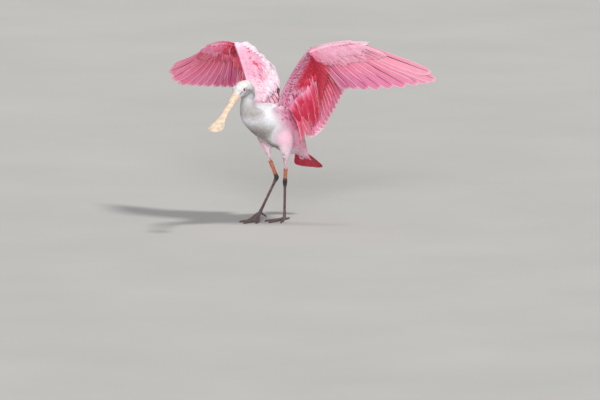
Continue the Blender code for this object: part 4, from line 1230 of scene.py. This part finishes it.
def tail_pieces(rng, flight):
    """The tail's core for the skin, and its fan of feathers, the halves leaned opposite ways."""
    rings, centres, away, up = tail_sections()
    middle = (TAIL_FEATHER_COUNT - 1) / 2
    off = (np.arange(TAIL_FEATHER_COUNT) - middle) / middle
    spread = np.radians(TAIL_SPREAD * off)[:, None]
    side = np.array([1.0, 0.0, 0.0])
    aim = away * np.cos(spread) + side * np.sin(spread)
    start = centres[1] * 0.4 + centres[2] * 0.6
    root = start + side * off[:, None] * 13.0 * MM + up * (1.2 - 2.4 * np.abs(off))[:, None] * MM
    tip = root + aim * (TAIL_FEATHER - 6.0 * off ** 2)[:, None] * MM
    tip = tip - up * (4.0 * np.abs(off) + 2.0)[:, None] * MM
    depth = 0.93 - 0.08 * (1.0 - FLIGHT["t"][None, :]) + rng.normal(0.0, 0.03, (len(off), 1))
    block = feathers(
        FLIGHT, root, tip - root, np.tile(up, (len(off), 1)), None, 10.0 * MM, (depth, 0.85, 0.1), rng,
        bow=0.02, lean=np.where(off > 0, -4.0, 4.0), dome=0.06, thick=0.6 * MM, ridge=0.3 * MM, ragged=0.06,
    )
    block["uv"] = strips(len(off))
    feather_object("tail_fan", [block], flight, ("tail",))
    return loft(rings)


# Skin, head, bill, eyes and legs

def skin_pieces(wing_cores, tail_core, material):
    """One skin for the body, neck, thighs, head and wings. Returns the part that carries the coat."""
    head = node_arrays("head")
    body = [node_arrays(name) for name in ("torso", "neck", "thigh_left", "thigh_right")]
    verts, tris = fused(body + [tail_core, head], VOXEL, 4)
    soft = smooth(112.0 * MM, 88.0 * MM, verts[:, 1:2])
    verts = verts * (1.0 - soft) + relaxed(verts, tris, 24) * soft
    depth = COAT_DEPTH * smooth(-172.0 * MM, -120.0 * MM, verts[:, 1]) + 0.4 * MM
    verts = verts - point_normals(verts, tris) * depth[:, None]
    _, back, up = verts[tris].mean(axis=1).T / MM
    bare = (back < -172.0) & (up > 340.0) | (back < -158.0) & (up > 358.0)
    fine, fine_tris = head_skin(head)
    shapes = [(verts, tris[~bare]), (fine, fine_tris)] + [core[:2] for core in wing_cores]
    all_verts, all_tris = stacked(shapes)
    marks = np.tile([0.0, 0.0, 1.0], (len(all_verts), 1))
    marks[len(verts):len(verts) + len(fine)] = head_marks(fine)
    tones = [skin_tone(verts), skin_tone(fine)] + [core[2] for core in wing_cores]
    item = mesh_object("skin", all_verts, all_tris, material, {"mark": marks, "tone": np.concatenate(tones)})
    finish_piece(item, ("torso", "neck", "head", "thigh_left", "thigh_right"))
    return verts, tris


def waves(p, seed, scale):
    """A cheap smooth noise from crossed sines, between -1 and 1."""
    rng = np.random.default_rng(seed)
    total = 0.0
    for _ in range(6):
        way = unit(rng.normal(size=3))
        total = total + np.sin((np.asarray(p) @ way) * scale * (0.6 + rng.random()) + rng.random() * 6.28)
    return total / 3.2


def folded(p):
    """Height of the fine folds in the bare head skin."""
    back = smooth(-205.0 * MM, -165.0 * MM, p[1])
    ripples = waves(p, 5, 900.0) * 0.28 + waves(p, 6, 2100.0) * 0.16
    return (ripples * (0.35 + 0.65 * back) - 0.05) * MM


def both_sides(path, count):
    """A path on the head and its mirror image, turned with the head."""
    path = points(path)
    return np.concatenate([yawed(curve(side, count)) for side in (path, path * MIRROR)])


def beside(p, line, wide, narrow):
    """1 on a line of points, falling to 0 between two distances from it."""
    away = np.min(np.linalg.norm(p[:, None] - line[None], axis=2), axis=1)
    return smooth(wide * MM, narrow * MM, away)


def head_skin(head):
    """The head's finer skin with its folds, drawn in under the coat at the neck."""
    verts, tris = fused([head, node_arrays("neck")], FINE_VOXEL, 2)
    rows = np.array([folded(p) for p in verts])
    verts = verts + point_normals(verts, tris) * (rows[:, None] - 0.25 * MM)
    _, back, up = verts.T / MM
    sunk = smooth(COLLAR + 20.0, COLLAR - 2.0, up) * smooth(-188.0, -174.0, back)
    inward = (points(NECK_MIDDLE) - verts) * np.array([1.0, 1.0, 0.0])
    return verts + unit(inward) * (sunk * 5.2 * MM)[:, None], tris


def head_marks(p):
    """Where the head skin is black, where greyed below the eye by painted shade, where warm, and where it
    lies under the coat.
    """
    wavy = p + (waves(p, 8, 520.0) * 0.8 * MM)[:, None]
    across, back, up = EYE_PLACE
    eyes = both_sides([EYE_PLACE, (across, back + 0.1, up)], 2)
    _, back, up = wavy.T / MM
    # A grey wash over the whole head below eye level, stronger toward the back: painted shade on cheeks, jaw
    # and throat.
    dark = (0.36 + 0.14 * smooth(-204.0, -186.0, back)) * smooth(397.0, 382.0, up)
    for path, count, wide, narrow, strength in HEAD_LINES:
        dark = np.maximum(dark, strength * beside(wavy, both_sides(path, count), wide, narrow))
    ring = beside(p, eyes, 8.2, 6.4)
    dark = np.maximum(dark, EYE_OUTLINE * beside(p, eyes, 9.8, 8.6)) * (1.0 - ring)
    _, back, up = p.T / MM
    throat = smooth(372.0, 360.0, up) * smooth(-168.0, -200.0, back)
    crown = smooth(392.0, 404.0, up)
    warm = np.maximum(np.maximum(0.5 * throat, 0.34 * ring), 0.10 * crown)
    under = smooth(COLLAR + 9.0, COLLAR - 4.0, up) * smooth(-172.0, -160.0, back)
    return np.stack([dark, warm, under], -1)


def bill_pieces(material):
    """Both halves of the bill, each point with its place along and across for the horn's colours."""
    a = math.radians(-BILL_PITCH)
    base = points(BILL_BASE)
    root = yawed(base)
    ways = ((0.0, -math.cos(a), math.sin(a)), (1.0, 0.0, 0.0))
    forward, across = (yawed(base + np.array(way)) - root for way in ways)
    for name, upper in (("bill_upper", 1.0), ("bill_lower", 0.0)):
        verts, tris = fused([node_arrays(name)], 0.62 * MM, 3)
        along = (verts - root) @ forward / (BILL_LENGTH * MM)
        out = (verts - root) @ across
        place = np.clip(along, 0.0, 1.0)
        half = sample(points(BILL_HALVES)[:, None], place * (len(BILL_HALVES) - 1))[:, 0]
        rough = waves(verts, 12, 1500.0) * smooth(0.7, 0.1, place) * 0.16 * MM
        verts = verts + point_normals(verts, tris) * (rough - 0.05 * MM)[:, None]
        lay = np.stack([place, np.clip(out / half, -1.2, 1.2), np.full(len(place), upper)], -1)
        item = mesh_object(f"{name}_horn", verts, tris, material, {"lay": lay})
        finish_piece(item, (name,))


def eye_pieces(material, lid):
    """Eyeballs with a slightly raised cornea, and their lids."""
    for side, hand in zip(SIDES, (1.0, -1.0)):
        centre = yawed(points(EYE_PLACE) * np.array([hand, 1.0, 1.0]))
        out = unit(yawed(np.array([hand * 0.93, -0.30, 0.16])) - yawed(np.zeros(3)))
        one = unit(np.cross(out, np.array([0.0, 0.0, 1.0])))
        two = np.cross(one, out)
        around = circle(40, one, two)
        rings = []
        for a in math.pi * np.arange(1, 40) / 40:
            cornea = 1.0 + 0.05 * max(0.0, 1.0 - a / 0.9)
            rings.append(centre + (out * math.cos(a) + around * math.sin(a)) * EYE_RADIUS * cornea * 0.985)
        verts, tris = loft(rings)
        facing = unit(verts - centre) @ out
        ring = np.clip(np.arccos(np.clip(facing, -1.0, 1.0)) / 0.95, 0.0, 1.0)
        item = mesh_object(f"eye_{side}_ball", verts, tris, material, {"ring": ring})
        finish_piece(item, (f"eye_{side}",))
        lid_piece(side, lid, centre, out, one, two)


def lid_piece(side, material, centre, out, one, two):
    """A lid of uneven width round one eye."""
    rings = []
    for a in 2 * math.pi * np.arange(48) / 48:
        spoke = one * math.cos(a) + two * math.sin(a)
        swell = 1.0 + 0.025 * math.sin(7 * a) + 0.015 * math.sin(13 * a)
        profile = np.array(LID_PROFILE) * np.array([swell, 1.0]) * MM
        rings.append(centre + profile[:, :1] * spoke + profile[:, 1:] * out)
    verts, tris = loft(rings + [rings[0]])
    marks = np.tile([0.0, 0.5, 0.35], (len(verts), 1))
    item = mesh_object(f"lid_{side}", verts, tris, material, {"mark": marks})
    finish_piece(item)


def leg_pieces(side, material, claw):
    """One leg's skin from the shank to the toes, and its claws."""
    names = [f"{part}_{side}" for part in ("shank", "tarsus", "foot")]
    verts, tris = fused([node_arrays(name) for name in names], 0.8 * MM, 3)
    verts = verts + point_normals(verts, tris) * 0.15 * MM
    verts[:, 2] = np.maximum(verts[:, 2], 0.0)
    ankle, joint = points(ANKLE[side]), points(TOE_JOINT[side])
    shank = smooth(ankle[2] + 4 * MM, ankle[2] + 16 * MM, verts[:, 2])
    dark = smooth(17 * MM, 7 * MM, np.linalg.norm(verts - ankle, axis=1))
    grey = np.maximum(smooth(joint[2] + 14 * MM, joint[2] - 4 * MM, verts[:, 2]), 0.25)
    marks = np.stack([shank, dark, grey * (1.0 - shank)], -1)
    item = mesh_object(f"leg_{side}_skin", verts, tris, material, {"mark": marks})
    finish_piece(item, tuple(names))
    claws = [claw_shape(tip, aim) for tip, aim in toe_ends(side, joint)]
    item = mesh_object(f"claws_{side}", *stacked(claws), claw)
    finish_piece(item)


def toe_ends(side, joint):
    """The farthest low point of each toe from under the toe joint, and the toe's direction."""
    level = np.array([1.0, 1.0, 0.0])
    flat = node_arrays(f"foot_{side}")[0]
    flat = flat[flat[:, 2] < 6 * MM]
    reach = flat - joint * level
    for turn in TOE_TURNS:
        aim = math.radians(turn if side == "right" else -turn)
        gap = np.angle(np.exp(1j * (np.arctan2(reach[:, 0], -reach[:, 1]) - aim)))
        near = np.abs(gap) < math.radians(9.0)
        if near.any():
            yield flat[near][np.argmax(np.linalg.norm(reach[near, :2], axis=1))] * level, aim


def claw_shape(tip, aim):
    way = np.array([math.sin(aim), -math.cos(aim), 0.0])
    across, up = np.cross(way, [0.0, 0.0, 1.0]), np.array([0.0, 0.0, 1.0])
    rings = []
    for share in np.linspace(0.0, 1.0, 9):
        centre = tip + way * (9.0 * share - 5.0) * MM + up * (3.4 - 2.3 * share ** 1.6) * MM
        size = 1.7 * MM * (1.0 - share) ** 0.7 + 0.12 * MM
        rings.append(centre + circle(12, across * size, up * size))
    return loft(rings)


# The body's coat

def scattered(verts, tris, normals, spacing, rng):
    """Roots over a surface, about one in each cell of the spacing."""
    a, b, c = corners(verts, tris)
    area = np.linalg.norm(np.cross(b - a, c - a), axis=1) / 2
    count = int(area.sum() / spacing ** 2 * 5.0)
    corner = tris[rng.choice(len(tris), count, p=area / area.sum())]
    u, v = rng.random((2, count, 1))
    over = (u + v) > 1.0
    u, v = np.where(over, 1.0 - u, u), np.where(over, 1.0 - v, v)
    shares = (1 - u - v, u, v)
    place, normal = (
        sum(rows[corner[:, i]] * share for i, share in enumerate(shares)) for rows in (verts, normals)
    )
    first = thinned(place, spacing)
    return place[first], unit(normal[first])


def nearest(path, p):
    """For each point: the share along a path, the distance to it, its direction and place there."""
    fine = curve(path, 120)
    way = unit(np.gradient(fine, axis=0))
    best = np.concatenate([
        np.linalg.norm(part[:, None] - fine[None], axis=2).argmin(axis=1)
        for part in np.array_split(p, max(1, len(p) // 20000))
    ])
    return best / 119.0, np.linalg.norm(p - fine[best], axis=1), way[best], fine[best]


def thigh_way(p):
    """How far each point belongs to a thigh, and the way down along it."""
    thigh = np.zeros(len(p))
    ways = np.zeros((len(p), 3))
    for side in SIDES:
        top, low = points(THIGH[side])
        share, away, way, _ = nearest(np.stack([top, (top + low) / 2, low]), p)
        weight = smooth(36.0 * MM, 16.0 * MM, away) * smooth(0.10, 0.75, share)
        ways = np.where((weight > thigh)[:, None], way, ways)
        thigh = np.maximum(thigh, weight)
    return thigh, ways


def coat_tone(p, thigh, chance):
    """White neck and breast, lilac flank, pink back and thighs, deep pink rump, and a grey of painted shade
    on the belly and the neck's side.
    """
    side, back, up = np.abs(p[:, 0]) / MM, p[:, 1] / MM, p[:, 2] / MM
    high = smooth(-10.0, 45.0, up - (283.0 - 0.72 * (back + 20.0)))
    behind = smooth(-75.0, 0.0, back)
    rump = smooth(70.0, 112.0, back) * smooth(-8.0, 12.0, up - (187.0 - 0.75 * (back - 106.0)))
    one_side = np.where([True, False, False], np.abs(p), p)
    pit = points([(50, -50, 322), (52, -20, 315), (50, 8, 308)])
    flank = smooth(60.0 * MM, 22.0 * MM, nearest(pit, one_side)[1]) * smooth(26.0, 42.0, side)
    hips = points([THIGH["left"][0], (51.0, 20.0, 240.0)])
    hip = smooth(64.0 * MM, 26.0 * MM, nearest(hips, one_side)[1])
    side = smooth(18.0, 48.0, side) * behind
    # belly: painted shade, a grey wash over the white coat that grows toward the bottom, in front of the
    # legs.
    belly = smooth(298.0, 254.0, up) * smooth(60.0, 10.0, back)
    belly = belly * (1.0 - side) * (1.0 - 0.8 * thigh) * (1.0 - hip)
    # neck: painted shade, a grey on the neck's side below the head.
    neck = smooth(-108.0, -130.0, back) * smooth(296.0, 320.0, up)
    depth = 0.27 * behind + 0.08 * high * behind + 0.16 * side
    depth = depth * (1.0 - belly) - 0.145 * belly - 0.075 * neck
    depth = depth * (1.0 - 0.4 * thigh) + 0.10 * thigh + 0.14 * hip * (1.0 - behind)
    depth = depth - 0.36 * thigh * smooth(0.36, 0.22, chance)
    depth = depth + flank * (0.26 + 0.30 * ramped(0.55, 0.95, chance))
    depth = depth + 0.46 * rump + waves(p, 21, 55.0) * 0.03
    depth = depth + 0.14 * ramped(0.86, 1.0, chance) * behind
    warm = np.clip(0.30 * smooth(-120.0, -60.0, back) + 0.5 * rump - 0.2 * flank + 0.2 * high, 0.0, 1.0)
    return depth, warm, flank


def skin_tone(p):
    """The coat's tone on the skin under it."""
    depth, warm, flank = coat_tone(p, thigh_way(p)[0], np.full(len(p), 0.5))
    return np.stack([depth, warm, flank], -1)


def draped(place, along, normal, length, skin, tris):
    """The way from each root to the skin below the feather's tip, and the bow to follow it between."""
    tree = BVHTree.FromPolygons(skin.tolist(), tris.tolist())
    tips = place + along * length[:, None]
    under = np.array([tuple(tree.find_nearest(tip)[0]) for tip in tips.tolist()])
    off = dot(tips - under, normal)[:, 0] / length
    return unit(under - place), 0.03 + np.clip(off * 0.28, -0.02, 0.12)


def coat_places(skin, tris, rng):
    """Roots of the coat's feathers, with the ways out of the skin and along it, and where they are."""
    sharp = point_normals(skin, tris)
    soft = smooth(112.0 * MM, 92.0 * MM, skin[:, 1:2]) * 0.85
    normals = unit(sharp * (1.0 - soft) + relaxed(sharp, tris, 7, 0.9) * soft)
    place, normal = scattered(skin, tris, normals, COAT_SPACING, rng)
    share, _, way, centre = nearest(points(AXIS[::-1]), place)
    thigh, down = thigh_way(place)
    along = way * (1.0 - thigh[:, None]) + down * thigh[:, None]
    collar = COLLAR * MM + (waves(place, 31, 260.0) * 3.0 + 12.0 * rng.random(len(place)) ** 2) * MM
    front = smooth(-140.0 * MM, -162.0 * MM, place[:, 1])
    keep = (place[:, 2] < collar + 6.0 * MM * front) | (place[:, 1] > -112.0 * MM)
    keep &= (place[:, 1] > -172.0 * MM) & (place[:, 1] < 134.0 * MM)
    keep &= (dot(normal, along)[:, 0] < 0.5) | (thigh < 0.8)
    angle = np.arctan2(dot(place - centre, np.cross(way, [1.0, 0.0, 0.0]))[:, 0], place[:, 0])
    spot = np.stack([angle / (2 * math.pi) + 0.5, share], -1)
    return (v[keep] for v in (place, normal, along, thigh, share, spot))


def coat_pieces(coat, rng, material):
    """Small feathers over body, neck, thighs and tail root, in pieces cut along the body's axis."""
    place, normal, along, thigh, share, spot = coat_places(*coat, rng)
    count = len(place)
    along = unit(along - normal * dot(along, normal))
    along = unit(along + np.cross(normal, along) * rng.normal(0.0, 0.10, (count, 1)))
    _, back, up = place.T / MM
    neck = smooth(312.0, 350.0, up) * smooth(-90.0, -118.0, back)
    depth, warm, flank = coat_tone(place, thigh, rng.random(count))
    length = 15.0 + 7.0 * smooth(-60.0, 90.0, back) + 8.0 * flank
    length = length * (1.0 - 0.66 * neck) * (1.0 - 0.35 * thigh)
    length = length * (1.0 - 0.35 * smooth(95.0, 120.0, back)) * (1.0 + rng.normal(0.0, 0.12, count)) * MM
    half = length * (0.20 + 0.04 * rng.random(count))
    rise = (0.09 + 0.05 * rng.random(count) + 0.12 * flank * rng.random(count))[:, None]
    along, bow = draped(place, along, normal, length, *coat)
    root = place - normal * 0.8 * MM
    groups = {"thighs": thigh > 0.5}
    for low, high, name in COAT_CUTS:
        groups[name] = (thigh <= 0.5) & (share >= low) & (share < high)
    for name, pick in groups.items():
        block = feathers(
            TUFT, root[pick], (along + normal * rise)[pick], normal[pick], length[pick], half[pick],
            (depth[pick], warm[pick], 0.25), rng, spot=spot[pick], bow=bow[pick], curl=rise[pick, 0] * 0.9,
            lean=rng.normal(0.0, 4.0, pick.sum()), dome=0.15, thick=0.3 * MM, ragged=0.15,
        )
        feather_object(f"coat_{name}", [block], material)


# Stage

def sun(name, energy, place, spread, colour):
    """A sun that shines from a place toward the middle."""
    data = bpy.data.lights.new(name, "SUN")
    data.energy = energy
    data.angle = math.radians(spread)
    data.color = colour
    item = shown(name, data)
    item.location = place * 4
    item.rotation_euler = (-place).to_track_quat("-Z", "Y").to_euler()


def stage():
    """The floor, the sky, two suns and the camera of the photograph's view."""
    half = FLOOR_SIZE / 2
    verts = np.array([(-half, -half, 0.0), (half, -half, 0.0), (half, half, 0.0), (-half, half, 0.0)])
    floor = mesh_object("floor", verts, np.array([(0, 1, 2), (0, 2, 3)]), floor_material())
    floor.location.z = -0.0004
    world = bpy.data.worlds.new("studio")
    bpy.context.scene.world = world
    world.use_nodes = True
    sky = world.node_tree.nodes["Background"].inputs
    sky["Color"].default_value = (0.93, 0.96, 1.0, 1.0)
    sky["Strength"].default_value = SKY_STRENGTH
    a, e = math.radians(CAMERA_AZIMUTH), math.radians(CAMERA_ELEVATION)
    right = Vector((math.cos(a), math.sin(a), 0.0))
    back = Vector((math.sin(a) * math.cos(e), -math.cos(a) * math.cos(e), math.sin(e)))
    up = back.cross(right)
    sun("key", KEY_STRENGTH, right * 0.50 + up * 0.90 + back * 0.22, 10.0, (1.0, 0.975, 0.93))
    sun("fill", FILL_STRENGTH, right * -0.05 + up * 0.16 + back * 0.98, 25.0, (1.0, 0.98, 0.97))
    set_camera(right, back, up)


def set_camera(right, back, up):
    data = bpy.data.cameras.new("camera")
    data.sensor_width = SENSOR_WIDTH
    data.lens = SENSOR_WIDTH * CAMERA_DISTANCE / VIEW_WIDTH
    data.clip_end = 400.0
    camera = shown("camera", data)
    aim = Vector(points(AIM) + SHIFT) + right * AIM_RIGHT * MM + up * AIM_UP * MM
    camera.location = aim + back * CAMERA_DISTANCE
    camera.rotation_euler = (-back).to_track_quat("-Z", "Y").to_euler()
    bpy.context.scene.camera = camera
    bpy.context.scene.view_settings.view_transform = "Standard"


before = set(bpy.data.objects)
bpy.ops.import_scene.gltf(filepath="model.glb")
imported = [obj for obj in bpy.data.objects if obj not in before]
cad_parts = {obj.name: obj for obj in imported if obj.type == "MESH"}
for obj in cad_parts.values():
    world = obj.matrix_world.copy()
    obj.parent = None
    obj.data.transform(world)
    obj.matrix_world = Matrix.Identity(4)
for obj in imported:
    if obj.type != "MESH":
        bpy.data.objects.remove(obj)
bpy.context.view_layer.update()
eye_low, eye_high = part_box("eye_left")
SHIFT = np.array((eye_low + eye_high) / 2) - yawed(points(EYE_PLACE))
random = np.random.default_rng(7)
flight_finish = feather_material("flight_finish", 110.0, 0.15, 0.55, 0.10)
covert_finish = feather_material("covert_finish", 34.0, 0.13, 0.65, 0.16)
coat_finish = feather_material("coat_finish", 20.0, 0.0, 0.72, 0.05)
tail_finish = feather_material("tail_finish", 60.0, 0.07, 0.55, 0.12)
skin_finish = skin_material()
cores = []
for wing_side in SIDES:
    cores += wing_pieces(wing_side, random, flight_finish, covert_finish)
tail_core = tail_pieces(random, tail_finish)
coat_pieces(skin_pieces(cores, tail_core, skin_finish), random, coat_finish)
bill_pieces(bill_material())
eye_pieces(eye_material(), skin_finish)
leg_finish = leg_material()
claw_finish = claw_material()
for leg_side in SIDES:
    leg_pieces(leg_side, leg_finish, claw_finish)
stage()
